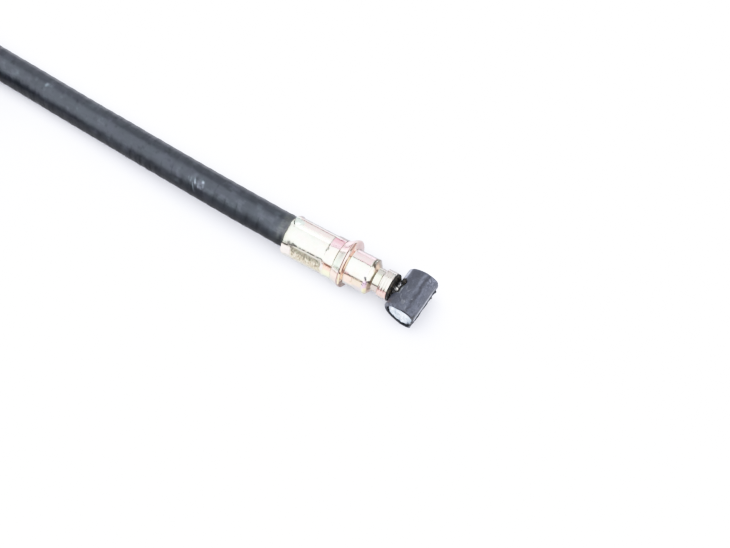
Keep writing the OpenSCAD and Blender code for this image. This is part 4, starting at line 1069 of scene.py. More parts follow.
    dirt_and_shade = np.maximum(dirt_and_shade, 0.8 * (1 - out) * (R < 3))
    dirt_and_shade = np.maximum(dirt_and_shade, 0.25 * bell(X, 8.85, 0.10) * out * (R < 3.5))
    dirt_and_shade = np.maximum(dirt_and_shade, 0.40 * bell(X, 0.05, 0.10) * out * (R < 4.8) * band(P, 20, 120, 10))
    dull = np.clip(0.9 * zone + 0.80 * band(X, -17.3, -6.1, 0.2) + 0.50 * band(X, -6.1, -0.8, 0.2) + 0.5 * cone + 0.3 * bell(X, -0.1, 0.3) + 0.18 * band(X, 0, 5.4, 0.2) + 0.7 * band(X, 7.0, 11.5, 0.1), 0, 1)
    # painted highlights: pale, less metallic strokes on the cone, along the crimp's upper flank, on the flare and along
    # the spigot
    pale = 0.9 * band(X, 5.9, 6.66, 0.06) * band(P, -3, 44, 4) + 0.75 * band(X, -15.6, -6.15, 0.5) * sm(-19, -4, P) * (1 - sm(-3, 1, P)) + 0.6 * flare * band(P, -9, 3, 3)
    pale = np.maximum(pale, 0.80 * np.clip(1.3 * bell(P, -31, 3.0), 0, 1) * band(X, 0.30, 5.25, 0.12))
    pale = np.clip(pale, 0, 1) * out
    marks = np.stack([np.clip(dirt_and_shade, 0, 1), dull, pale], -1)
    return build(
        "lever_ferrule_plated", v.reshape(-1, 3), [quads(nu, m, True)], ZINC, "conduit", ["lever_ferrule"],
        sharp=38, attrs={"tint": tint.reshape(-1, 4), "marks": marks.reshape(-1, 3)},
    )


ferrule()


# ---------------------------------------------------------------- turned pieces
def turned(name, outline, material, body, node, m=96, cy=0.0, cz=0.0, shape=None, paint=None, sharp=38, axis="x", origin=(0, 0, 0)):
    """A closed ring shape from an outline of (x, r) points, which runs round the section. shape(x, r, phi, place) may move points."""
    o = np.array(outline, float)
    phi = (np.arange(m) * 360.0 / m)[None, :]
    x, r = o[:, 0:1] + 0 * phi, o[:, 1:2] + 0 * phi
    place = np.stack([x, r * np.sin(np.radians(phi)), r * np.cos(np.radians(phi))], -1)
    if shape:
        x, r = shape(x, r, wrap(phi) + 0 * x, place)
    v = around(x, r, phi)
    if axis == "y":
        v = np.stack([v[..., 1], v[..., 0], v[..., 2]], -1)
    v = v + np.array(origin) + np.array([0, cy, cz])
    attrs = paint(x, r, wrap(phi) + 0 * x, place) if paint else {}
    attrs = {k: a.reshape(-1, a.shape[-1]) for k, a in attrs.items()}
    return build(name, v.reshape(-1, 3), [quads(len(o), m, True)], material, body, [node] if node else (), sharp=sharp, attrs=attrs)


def dense(outline, step):
    """An outline with points added so that none are more than step apart."""
    out = []
    pts = [np.array(p, float) for p in outline]
    for a, b in zip(pts, pts[1:] + pts[:1]):
        k = max(1, int(math.ceil(np.linalg.norm(b - a) / step)))
        out += [a + (b - a) * i / k for i in range(k)]
    return out


def rounded(outline, radius, steps=3):
    """An outline with its corners rounded."""
    pts = [np.array(p, float) for p in outline]
    out = []
    n = len(pts)
    for i in range(n):
        a, b, c = pts[i - 1], pts[i], pts[(i + 1) % n]
        u, w = a - b, c - b
        lu, lw = np.linalg.norm(u), np.linalg.norm(w)
        k = min(radius, 0.45 * lu, 0.45 * lw)
        u, w = u / lu, w / lw
        if u @ w < -0.985:
            out.append(b)
            continue
        for j in range(steps + 1):
            t = j / steps
            p0, p1 = b + u * k, b + w * k
            out.append((1 - t) ** 2 * p0 + 2 * t * (1 - t) * b + t**2 * p1)
    return out


def mouth():
    outline = dense(rounded([(8.72, 1.6), (8.72, 2.4), (11.29, 2.4), (11.29, 3.5), (11.80, 3.52), (12.04, 3.1), (12.08, 2.2), (12.0, 1.62)], 0.12), 0.14)

    def shape(x, r, phi, place):
        out = sm(11.42, 11.8, x)
        lump = fbm(place * 0.55, 3, 21)
        crease = np.clip(np.sin(np.radians(phi) * 9 + 3.0 * r + 2.0 * perlin(place * 0.6)), 0, 1)
        x = x + out * (0.10 * lump - 0.12 * crease * band(r, 1.9, 3.3, 0.2))
        x = x + 0.28 * out * np.exp(-(((phi + 62) / 16) ** 2)) * band(r, 1.7, 3.0, 0.4)
        r = r + out * 0.10 * fbm(place * 0.8, 2, 22) * (r > 2.4)
        return np.minimum(x, 12.42), r

    turned("mouth_bush_rubber", outline, RUBBER, "conduit", "mouth_bush", m=120, shape=shape)


mouth()


BARREL = np.array([16.25, 0.0, 0.0])
YAW = math.radians(2.3)


def hang(v):
    """Points of the barrel, given about its own centre with its length along Y, as it hangs turned on the wire."""
    c, d = math.cos(YAW), math.sin(YAW)
    return np.stack([v[..., 0] * c + v[..., 1] * d, v[..., 1] * c - v[..., 0] * d, v[..., 2]], -1) + BARREL


def core():
    """Cast core of the barrel: its -Y end shows scratched and a little dished inside the bush."""
    m = 96
    phi = (np.arange(m) * 360.0 / m)[None, :]
    st = [(-5.30, 0.02), (-5.30, 0.35)] + [(-5.30, q) for q in np.arange(0.7, 3.2, 0.22)] + [(-5.29, 3.25), (-5.25, 3.38), (-5.15, 3.46), (-5.0, 3.49)]
    st += [(y, 3.49) for y in np.arange(-4.5, 4.9, 0.3)]
    st += [(5.0, 3.49), (5.15, 3.46), (5.25, 3.38), (5.29, 3.25)] + [(5.30, q) for q in np.arange(3.1, 0.6, -0.22)] + [(5.30, 0.35), (5.30, 0.02)]
    o = np.array(st)
    y, r = o[:, 0:1] + 0 * phi, o[:, 1:2] + 0 * phi
    place = np.stack([r * np.sin(np.radians(phi)), y, r * np.cos(np.radians(phi))], -1)
    end = sm(4.9, 5.25, abs(y))
    dish = 0.10 * (1 - (r / 3.3) ** 2) - 0.10 * fbm(place * np.array([0.8, 0, 0.5]), 3, 31) - 0.04 * np.sin(place[..., 0] * 4.2 + 2 * perlin(place * 0.5))
    dish = dish * end - 0.12 * end * np.exp(-((place[..., 0] - 0.9) ** 2 + (place[..., 2] + 0.7) ** 2) / 0.35)
    y = y - np.sign(y) * dish
    # longer than drawn above, its near end set a little off the bush's centre and cut a little out of square
    near = sm(-1.5, -4.8, y)
    u, z = r * np.sin(np.radians(phi)), r * np.cos(np.radians(phi)) * (1 - 0.10 * near)
    y = np.where(y > 0, y + 0.5 * sm(0, 4, y), y - (0.12 + 0.085 * u) * near)
    v = hang(np.stack([u + 0.42 * near, y, z], -1))
    # painted shade: the core is darkened where the bush's window opens onto it, the shade of the cavity
    cavity_shade = np.clip(0.9 + 0.6 * fbm(place * 0.8, 3, 32), 0, 1) * band(y, -2.6, 2.6, 0.4) * sm(0.5, -1.0, u)
    nu = len(o)
    verts = np.concatenate([v.reshape(-1, 3), [v[0].mean(0), v[-1].mean(0)]])
    build("barrel_core_cast", verts, [quads(nu, m), fans(nu, m, nu * m, nu * m + 1)], CAST, "lever_wire", ["barrel_core"], sharp=40, attrs={"grease": np.concatenate([cavity_shade.ravel(), [0, 0]])})


core()


def bush():
    """Moulded bush: a tube along Y with a window for the wire towards -X, rounded edges, and a thin flash fin towards +X."""
    # stations along Y, closer at the ends and at the window's edges
    h = 6.05
    ys = along((-h + 0.0, -h + 0.5, 0.06), (-5.3, -2.35, 0.21), (-2.3, -1.9, 0.05), (-1.7, 1.2, 0.29), (1.4, 1.8, 0.05), (1.95, 5.3, 0.21), (h - 0.5, h, 0.06))
    # angles about Y, from -X; closer at the window's edges and at the fin (180)
    a = along((-180, -178.2, 0.45), (-176, -68, 2.4), (-66, -55.5, 0.75), (-54, 54, 2.7), (55.5, 66, 0.75), (67.5, 164, 1.5), (165, 180, 0.5))[:-1]
    ny, na = len(ys), len(a)
    Y, A = np.meshgrid(ys, a, indexing="ij")
    outer = np.full(Y.shape, 3.96)
    place = np.stack([4 * np.sin(np.radians(A)), Y, 4 * np.cos(np.radians(A))], -1)
    edge = h - abs(Y)
    outer = outer - 0.32 * (1 - sm(0.0, 0.42, edge)) - 0.05 * (1 - sm(0, 0.9, edge))
    outer = outer + 0.035 * fbm(place * np.array([0.35, 0.22, 0.35]), 3, 41) - 0.02
    # wear and sink along the back, where the lever bears
    outer = outer - 0.05 * bell(A, 150 + 6 * np.sin(Y * 0.9), 9) - 0.07 * bell(A, 115 + 3 * np.sin(Y * 1.3), 3.5)
    # fillet at the window
    w0, w1, wa = -2.1, 1.6, 58.5
    arc = np.radians(abs(A) - wa) * 4.0
    dy = np.maximum(w0 - Y, Y - w1)
    dist = np.where((arc > 0) & (dy > 0), np.hypot(np.maximum(arc, 0), np.maximum(dy, 0)), np.maximum(arc, dy))
    outer = outer - 0.16 * (1 - sm(-0.02, 0.34, dist)) * (dist > -0.05)
    # swollen lips beside the window
    lip = np.exp(-(((Y - 2.35) / 0.42) ** 2)) * np.exp(-(((A - 30) / 14.0) ** 2)) * 0.10
    outer = outer + lip * sm(0.0, 0.2, dy)
    # fin of flash on the far side
    ridge = np.stack([Y * 1.6, 0 * Y, 0 * Y], -1)
    fin = np.exp(-((wrap(A - 179) / 0.9) ** 2)) * (0.24 + 0.05 * np.sin(Y * 1.7 + 1) + 0.10 * np.clip(perlin(ridge), -1, 1) + 0.20 * bell(Y, 4.0, 0.5) + 0.26 * bell(Y, 2.2, 0.35)) * band(Y, -5.6, 4.4, 0.12)
    outer = outer + np.clip(fin, 0, 0.55)
    inner = np.full(Y.shape, 3.55) + 0.06 * (1 - sm(0, 0.25, edge))

    def at(R, A_, Y_, slip):
        cu, cw = -np.cos(np.radians(A_)), np.sin(np.radians(A_))
        far = sm(2.4, h, Y_) * (0.22 * cu - 0.50 * np.maximum(cw, 0) - 0.2 * np.maximum(-cw, 0) + 0.12 + 0.10 * perlin(np.stack([1.3 * cu, 1.3 * cw, 0 * cu + 3], -1)))
        near = sm(-2.4, -h, Y_) * (-np.interp(A_, [84, 100, 130, 158, 171, 178], [0, 0.30, 0.66, 0.98, 0.90, 0.15]) + 0.44 * cu - 0.46 * np.maximum(-cw, 0) + 0.10 + 0.06 * perlin(np.stack([1.3 * cu, 1.3 * cw, 0 * cu + 8], -1)))
        return hang(np.stack([R * cu + slip * sm(-1.5, -4.8, Y_), Y_ + far - near, R * cw], -1))

    vo, vi = at(outer, A, Y, 0.0), at(inner, A, Y, 0.40)
    # the two skins of the window's walls
    faces, nv = [], ny * na

    def idx(i, j, skin):
        return skin * nv + i * na + (j % na)

    ym = (ys[:-1] + ys[1:]) / 2
    am = np.array([(a[j] + (a[j + 1] if j + 1 < na else 180)) / 2 for j in range(na)])
    open_ = (ym > w0)[:, None] & (ym < w1)[:, None] & (abs(am)[None, :] < wa)
    for i in range(ny - 1):
        for j in range(na):
            if open_[i, j]:
                continue
            faces.append([idx(i, j, 0), idx(i, j + 1, 0), idx(i + 1, j + 1, 0), idx(i + 1, j, 0)])
            faces.append([idx(i, j, 1), idx(i + 1, j, 1), idx(i + 1, j + 1, 1), idx(i, j + 1, 1)])
            for di, dj, p, q in ((-1, 0, (i, j), (i, j + 1)), (1, 0, (i + 1, j + 1), (i + 1, j)), (0, -1, (i + 1, j), (i, j)), (0, 1, (i, j + 1), (i + 1, j + 1))):
                ii, jj = i + di, (j + dj) % na
                gone = ii < 0 or ii >= ny - 1 or open_[ii, jj]
                if gone:
                    faces.append([idx(*q, 0), idx(*p, 0), idx(*p, 1), idx(*q, 1)])
    v = np.concatenate([vo.reshape(-1, 3), vi.reshape(-1, 3)])
    # drop the points of the window
    used = np.unique(np.array(faces))
    new = np.full(len(v), -1)
    new[used] = np.arange(len(used))
    faces = new[np.array(faces)]
    n1, n2, n3 = fbm(place * np.array([0.5, 0.3, 0.5]), 3, 44), fbm(place * 0.9, 3, 45), fbm(place * 2.2, 3, 46)
    wave = 116.5 + 2.2 * np.sin(Y * 1.25 + 1.2) + 1.6 * np.sin(Y * 2.9) + 4.5 * n2 + 3.0 * n3
    streak = np.clip(1.25 * bell(A, wave, 5.2), 0, 1) * np.clip(0.9 + 0.6 * n3, 0, 1)
    wavy = 0.55 * bell(A, 150 + 3 * np.sin(Y * 1.1), 3.0) * np.clip(0.3 + 1.5 * n2, 0, 1)
    dark = np.maximum(0.80 * streak, wavy)
    dark = np.maximum(dark, 0.45 * band(A, 40, 78, 9) * (1 - sm(-3.2, -2.2, Y)) * np.clip(0.8 + 0.8 * n2, 0, 1))
    dark = np.maximum(dark, 0.75 * band(A, -25, 26, 8) * (1 - sm(-4.4, -3.7, Y)) * np.clip(0.50 + 2.8 * n3, 0, 1))
    dark = np.maximum(dark, 0.66 * band(A, 126, 168, 5) * sm(0.8, 4.2, Y + 2.0 * n1) * np.clip(0.30 + 3.2 * n3, 0, 1))
    dark = np.maximum(dark, 0.58 * band(A, 46, 97, 5) * band(Y, 0.4, 5.6, 0.8) * np.clip(0.8 + 1.0 * n1, 0, 1))
    dark = np.maximum(dark, 0.26 * band(A, 20, 95, 6) * np.clip(0.8 + 0.9 * n2, 0, 1))
    # painted shade at the window's edge and around it
    dark = np.maximum(dark, 0.75 * (1 - sm(0.0, 0.20, dist)) * (dist > -0.1) * (1 - 0.9 * band(Y, -2.4, 0.2, 0.3) * (A > 0)))
    dark = np.maximum(dark, 0.35 * (1 - sm(0.2, 1.6, dist)) * (dist > 0) * band(A, -90, 90, 8) * np.clip(0.8 + n2, 0, 1))
    # painted shade: the flash fin is black
    dark = np.maximum(dark, 1.0 * (fin > 0.07))
    # painted shade: the lower half of the near rim and the outline of both ends are nearly black
    low_rim = (1 - sm(0.10, 0.45, h + Y)) * sm(10, -20, wrap(A + 0 * Y)) + (1 - sm(0.1, 0.4, h + Y)) * sm(160, 174, abs(A))
    dark = np.maximum(dark, 0.95 * np.clip(low_rim, 0, 1))
    dark = np.maximum(dark, 0.80 * (1 - sm(0.10, 0.40, h - Y)) * np.clip(0.6 + n2, 0, 1))
    dark = np.maximum(dark, 0.80 * (1 - sm(0.10, 0.42, h + Y)) * band(A, 96, 168, 6))
    dark = np.maximum(dark, 0.50 * (1 - sm(0.05, 0.35, h + Y)) * band(A, 60, 100, 6))
    # paler places: bands, random patches, and painted highlights along the window's edge and the rims' edges
    pale = 0.26 * band(A, 121, 160, 5) * np.clip(0.55 + 0.8 * n1, 0, 1) + 0.30 * band(A, 98, 108, 4) * sm(-1.5, 4.0, Y) * np.clip(0.7 + 1.3 * n2, 0, 1) + 0.15 * band(A, 95, 112, 4) * np.clip(n1 + 0.2, 0, 1)
    pale += 0.16 * sm(0.35, 0.8, n3) + 0.30 * band(A, 122, 165, 6) * sm(1.2, 4.6, Y) * np.clip(0.02 - 3.0 * n3, 0, 1) + 0.8 * (1 - sm(0.1, 0.45, edge)) * band(A, 130, 168, 5)
    pale += 1.0 * band(A, 28, 46, 3) * band(Y, 2.2, 5.6, 0.3) + 0.8 * bell(dist, 0.05, 0.14) * band(Y, -2.4, 0.2, 0.3) * (A > 0)
    pale += 0.40 * (1 - sm(0.3, 0.9, h + Y)) * band(A, 10, 70, 8) * np.clip(0.4 + 1.8 * n3, 0, 1)
    arc_a = np.radians(A) * 3.96

    def scratch(points, width):
        return stroke(arc_a, Y, [(math.radians(pa) * 3.96, py) for pa, py in points], width)

    lines = scratch([(84, -3.3), (88, -4.1), (95, -4.4), (97, -3.7), (92, -3.4), (87, -3.6)], 0.05) + scratch([(90, -3.9), (94, -3.6)], 0.05)
    lines += 0.7 * scratch([(70, -2.2), (74, -3.0), (78, -3.2)], 0.06) + 0.6 * scratch([(108, -4.4), (112, -5.3), (118, -5.6)], 0.06) + 0.6 * scratch([(80, -0.6), (86, -0.9), (89, -0.3)], 0.06)
    lines += 0.8 * scratch([(110, -2.2), (113, -2.0)], 0.08) + 0.7 * scratch([(72, 0.3), (76, -0.5)], 0.06) + 0.6 * scratch([(128, 4.6), (131, 4.4)], 0.10) + 0.8 * scratch([(123, 5.0), (125, 4.9)], 0.10)
    # light marks: scratches, a pale stripe at 28 to 46 degrees, and painted highlights along the fin's root and beside
    # it
    white = 0.16 * lines + 0.18 * band(A, 28, 44, 3) * band(Y, 2.3, 5.5, 0.3) * np.clip(0.8 + n2, 0, 1) + 0.9 * bell(wrap(A - 174.5), 0, 1.3) * band(Y, -5.9, 2.9, 0.3) + 0.25 * bell(wrap(A - 170), 0, 4) * band(Y, -5.5, 4.5, 0.6)
    pale, white = np.clip(pale * (1 - 0.8 * dark), 0, 1), np.clip(white, 0, 1)
    mk = np.stack([dark, pale, white], -1).reshape(-1, 3)
    # painted shade: the inner skin is nearly black
    mk = np.concatenate([mk, np.concatenate([0.95 * np.ones((nv, 1)), np.zeros((nv, 2))], -1)])
    build("barrel_bush_moulded", v[used], [faces], BUSH, "bush", ["barrel_bush"], sharp=40, attrs={"marks": mk[used]})


bush()


def lump():
    """A black rubber blob at the window's edge nearest the mouth; it stands in for the shade of the cavity behind the
    wire.
    """
    m, k = 40, 24
    a, b = np.meshgrid(np.arange(m) * 2 * math.pi / m, np.linspace(0.06, math.pi - 0.06, k))
    d = np.stack([np.sin(b) * np.cos(a), np.sin(b) * np.sin(a), np.cos(b)], -1)
    size = 1 + 0.20 * fbm(d * 1.1, 3, 47)
    v = np.array([-2.66, 1.55, 2.50]) + d * size[..., None] * np.array([0.72, 0.84, 0.78])
    v = hang(v)
    verts = np.concatenate([v.reshape(-1, 3), [v[0].mean(0), v[-1].mean(0)]])
    build("barrel_window_shade_blob", verts, [quads(k, m), fans(k, m, k * m, k * m + 1)], RUBBER, "bush", [], sharp=60)


lump()


# ---------------------------------------------------------------- far end
def thread_shape(x, x0, x1, pitch, r_top, r_root, phi):
    """Radius of a right-hand thread at x and phi, fading out at both ends."""
    f = (x / pitch + phi / 360.0) % 1.0
    tri = 1 - abs(f - 0.5) * 2
    prof = sm(0.06, 0.94, tri) * 0.15 + np.clip((tri - 0.12) / 0.76, 0, 1) * 0.85
    fade = sm(x0, x0 + 1.1, x) * (1 - sm(x1 - 0.9, x1, x))
    return r_root + (r_top - r_root) * prof * (0.25 + 0.75 * fade) - 0.25 * (1 - fade) * (r_top - r_root)


def adjuster():
    m = 144
    phi = (np.arange(m) * 360.0 / m)[None, :]
    xs = along(-136, -135.93, -135.8, (-135.6, -122.9, 0.16), (-122.8, -121.9, 0.06), (-121.8, -121.35, 0.09), -121.3, (-121.2, -120.4, 0.1), (-120.3, -93.0, 0.105), -92.98, (-92.8, -88.5, 0.35), -88.3, -88.1, -88.0)
    x = xs[:, None] + 0 * phi
    base_x = [-136, -135.9, -135.7, -122.7, -122.4, -122.1, -121.65, -121.55, -121.3, -121.2, -120.4, -120.3, -93.0, -92.98, -88.4, -88.0]
    base_r = [5.05, 5.2, 5.28, 5.28, 5.2, 5.33, 5.35, 5.3, 5.0, 3.65, 3.6, 3.6, 3.6, 3.2, 3.2, 2.95]
    r = np.interp(xs, base_x, base_r)[:, None] + 0 * phi
    place = np.stack([x, 5 * np.sin(np.radians(phi)) + 0 * x, 5 * np.cos(np.radians(phi)) + 0 * x], -1)
    w = sm(-135.75, -135.2, x) * (1 - sm(-122.9, -122.7, x))
    r = r * (1 - w) + w * (jaws(phi, [0, 90, 180, 270], 4.95, 6.7, 5.3) + 0.02 * fbm(place * 0.35, 3, 51))
    for centre in (0, 180):
        zone = band(wrap(phi - centre), -28, 28, 4) * band(x, -134.6, -123.9, 0.3)
        teeth = np.clip(np.sin(2 * math.pi * (x / 0.8 + 0.2 * perlin(place * 0.7))), 0, 1) * (0.4 + 0.6 * np.clip(np.sin(2 * math.pi * (phi / 11 + 0.2 * perlin(place * 0.6 + 4))) + 0.3, 0, 1))
        r = r - 0.12 * zone * teeth * np.clip(0.8 + 0.8 * fbm(place * 0.5, 2, 52), 0.2, 1.3)
    th = thread_shape(x, -120.3, -93.0, 1.25, 3.985, 3.25, phi + 0 * x)
    tw = (x > -120.35) & (x < -92.99)
    r = np.where(tw, th, r)
    inner = [(-88.0, 2.6), (-88.1, 2.17), (-100, 2.17), (-115, 2.17), (-121.9, 2.17), (-122.0, 2.3), (-122.0, 4.15), (-122.1, 4.2), (-128, 4.2), (-134, 4.2), (-135.9, 4.22), (-136.0, 4.32)]
    i = np.array(inner)
    X = np.concatenate([x, i[:, 0:1] + 0 * phi])
    R = np.concatenate([r, i[:, 1:2] + 0 * phi])
    v = around(X, R, phi, FAR_Y, FAR_Z)
    q = v * 1.0
    n1, n2, n3 = fbm(q * 0.3, 3, 53), fbm(q * 0.6, 3, 54), fbm(q * 1.4, 3, 55)
    th_zone = band(X, -120.5, -92.9, 0.2)
    tint = painted(X.shape, [
        (0.75 * sm(0.0, 0.4, n1), (0.86, 0.64, 0.60)), (0.70 * sm(0.0, 0.4, -n1), (0.68, 0.76, 0.60)), (0.65 * sm(0.05, 0.5, n2), (0.88, 0.72, 0.44)),
        (0.45 * th_zone * sm(3.9, 3.35, R), (0.86, 0.60, 0.36)),
        (0.35 * th_zone * sm(3.85, 3.98, R), (1.0, 0.95, 0.8)),
        (0.5 * bell(X, -122.3, 0.25), ORANGE), (0.35 * band(X, -135.9, -135.0, 0.3), ROSE),
    ])
    zone = (band(wrap(phi), -26, 26, 4) + band(wrap(phi - 180), -26, 26, 4)) * band(X, -134.6, -123.9, 0.3)
    tint[..., :3] *= (0.80 + 0.14 * n2)[..., None]
    # darker in the thread's roots, the teeth's low places and at the step, and painted shade in the bore
    dirt_and_shade = np.clip(0.5 * th_zone * sm(3.6, 3.3, R) * (0.6 + n3) + 0.5 * zone * np.clip((5.05 - R) / 0.14, 0, 1) + 0.5 * bell(X, -121.2, 0.15) + 0.6 * (np.arange(len(X))[:, None] >= len(x)), 0, 1)
    marks = np.stack([dirt_and_shade, np.clip(zone, 0, 1), 0 * X], -1)
    build("adjuster_tube_plated", v.reshape(-1, 3), [quads(len(X), m, True)], ZINC, "conduit", ["adjuster_tube"], sharp=38, attrs={"tint": tint.reshape(-1, 4), "marks": marks.reshape(-1, 3)})


adjuster()


def nut(name, x0, node, body, seed):
    """Hexagon nut, 13 mm across flats, with chamfered corners and a threaded bore."""
    m, t, af = 144, 5.0, 13.0
    phi = (np.arange(m) * 360.0 / m)[None, :]
    u = np.array([0, 0.0, 0.0, 0.03, 0.12, 0.3, 0.5, 0.75, 1.0, 1.6, 2.5, 3.4, 4.0, 4.25, 4.5, 4.7, 4.88, 4.97, 5.0, 5.0, 5.0])
    rin = [4.62, 5.2, 6.0, 6.35]
    rows_x, rows_r = [], []
    corner = np.radians(((phi + 30) % 60) - 30)
    hexr = af / 2 / np.cos(corner)
    hexr = np.minimum(hexr, 7.42)
    lim = lambda d: 6.32 + d / math.tan(math.radians(32))
    k = 0.08
    for rr in (4.62, 5.0, 5.5, 6.0, 6.25):
        rows_x.append(0 * phi + 0.0)
        rows_r.append(0 * phi + rr)
    for d in (0.02, 0.08, 0.16, 0.26, 0.38, 0.52, 0.7, 0.95, 1.5, 2.5, 3.5, 4.05, 4.3, 4.48, 4.62, 4.74, 4.84, 4.92, 4.98):
        depth = min(d, t - d)
        c = lim(depth)
        h = np.clip(0.5 + 0.5 * (c - hexr) / k, 0, 1)
        rows_x.append(0 * phi + d)
        rows_r.append(c * (1 - h) + hexr * h - k * h * (1 - h))
    for rr in (6.25, 6.0, 5.5, 5.0, 4.62):
        rows_x.append(0 * phi + t)
        rows_r.append(0 * phi + rr)
    for d in np.arange(t - 0.35, 0.30, -0.105):
        rows_x.append(0 * phi + d)
        f = (((x0 + d) / 1.25 + phi / 360.0) % 1.0)
        tri = 1 - abs(f - 0.5) * 2
        edge = sm(0.3, 0.9, min(d, t - d))
        rows_r.append(4.07 - 0.62 * 0 + 0.50 * tri * 1.0 * (1.0) + 0.45 * (1 - edge))
    X, R = np.concatenate(rows_x), np.concatenate(rows_r)
    place = np.stack([X, 6 * np.sin(np.radians(phi)) + 0 * X, 6 * np.cos(np.radians(phi)) + 0 * X], -1)
    outer = R > 4.9
    R = R + outer * 0.02 * fbm(place * 0.4 + seed, 3, 61)
    v = around(X + x0, R, phi, FAR_Y, FAR_Z)
    q = v + seed * 7
    n1, n2, n3 = fbm(q * 0.22, 3, 62), fbm(q * 0.5, 3, 63), fbm(q * 1.2, 3, 64)
    edge = sm(7.0, 7.35, R)
    tint = painted(X.shape, [
        (0.85 * sm(0.0, 0.4, n1), (0.86, 0.62, 0.58)), (0.80 * sm(0.0, 0.4, -n1), (0.66, 0.76, 0.58)), (0.75 * sm(0.05, 0.45, n2), (0.88, 0.71, 0.42)),
        (0.35 * edge, ORANGE), (0.5 * (R < 4.9), (0.7, 0.5, 0.32)),
    ])
    tint[..., :3] *= (0.80 + 0.14 * n2)[..., None]
    # darker in random patches, and painted shade in the bore
    dirt_and_shade = np.clip(0.45 * (R < 4.7) + 0.30 * sm(0.2, 0.7, n3), 0, 1)
    marks = np.stack([dirt_and_shade, 0.3 * sm(0.2, 0.6, n2), 0 * X], -1)
    build(name, v.reshape(-1, 3), [quads(len(X), m, True)], ZINC, body, [node], sharp=34, attrs={"tint": tint.reshape(-1, 4), "marks": marks.reshape(-1, 3)})


nut("inner_nut_plated", -117.0, "inner_lock_nut", "inner_nut_body", 1)
nut("outer_nut_plated", -102.78, "outer_lock_nut", "outer_nut_body", 3)


def washer(name, x0, node, body, seed, face):
    """Stamped washer: one rolled edge, one with a slight burr."""
    o = dense(rounded([(0, 4.2), (0, 6.36), (1.2, 6.38), (1.2, 4.22)], 0.16), 0.16)

    def shape(x, r, phi, place):
        bend = 0.03 * np.sin(np.radians(phi * 2 + 40 * seed))
        burr = 0.05 * bell(r, 6.36, 0.12) * (x > 0.6) * (1 + perlin(place * 0.9))
        return x + bend * 0 + 0.02 * fbm(place * 0.3 + seed, 2, 71), r + 0.012 * fbm(place * 0.6, 2, 72) + burr

    def paint(x, r, phi, place):
        n1, n2, n3 = fbm(place * 0.25 + seed * 3, 3, 73), fbm(place * 0.6 + seed, 3, 74), fbm(place * 1.4, 3, 75)
        rub = band(r, 4.6, 6.0, 0.2) * sm(-0.1, 0.4, n2)
        tint = painted(x.shape, [(0.85 * sm(0.0, 0.4, n1), (0.86, 0.62, 0.58)), (0.80 * sm(0, 0.4, -n1), (0.66, 0.76, 0.58)), (0.70 * sm(0.05, 0.45, n2), (0.88, 0.71, 0.42)), (0.4 * rub, (1.0, 0.98, 0.9)), (0.45 * bell(r, 6.37, 0.12), ORANGE)])
        tint[..., :3] *= (0.80 + 0.12 * n2)[..., None]
        return {"tint": tint, "marks": np.stack([np.clip(0.35 * bell(r, 4.25, 0.25) + 0.2 * sm(0.3, 0.7, n3), 0, 1), 0.5 * rub, 0 * x], -1)}

    turned(name, o, ZINC, body, node, m=120, cy=FAR_Y, cz=FAR_Z, shape=shape, paint=paint, origin=(x0, 0, 0))


washer("inner_washer_stamped", -111.98, "inner_washer", "inner_washer_body", 1, 1)
washer("outer_washer_stamped", -104.0, "outer_washer", "outer_washer_body", 2, 1)


def boot():
    """Bellows boot on the adjuster's nose, with a mould seam and softened edges."""
    b0 = -92.7
    out = [(0, 3.3), (0, 4.15), (0.35, 4.55), (1.4, 4.6), (1.9, 4.02), (2.4, 3.98), (2.9, 4.4), (3.7, 4.42), (4.2, 3.82), (4.7, 3.72), (5.2, 4.0), (6.0, 3.92), (6.6, 3.05), (8.2, 2.5), (8.7, 2.15), (8.68, 1.6), (6.2, 1.6), (4.8, 3.2)]
    o = dense(rounded(out, 0.4, 4), 0.16)

    def shape(x, r, phi, place):
        outer = r > 3.25
        seam = np.exp(-((wrap(phi) / 1.6) ** 2)) + np.exp(-((wrap(phi - 180) / 1.6) ** 2))
        return x + 0.05 * perlin(place * 0.4), r + np.where(outer | (x > 6.5) & (r > 1.8), 0.03 * fbm(place * 0.5, 3, 81) + 0.08 * seam, 0)

    turned("dust_boot_rubber", o, RUBBER, "conduit", "dust_boot", m=120, cy=FAR_Y, cz=FAR_Z, shape=shape, origin=(b0, 0, 0), sharp=50)


boot()


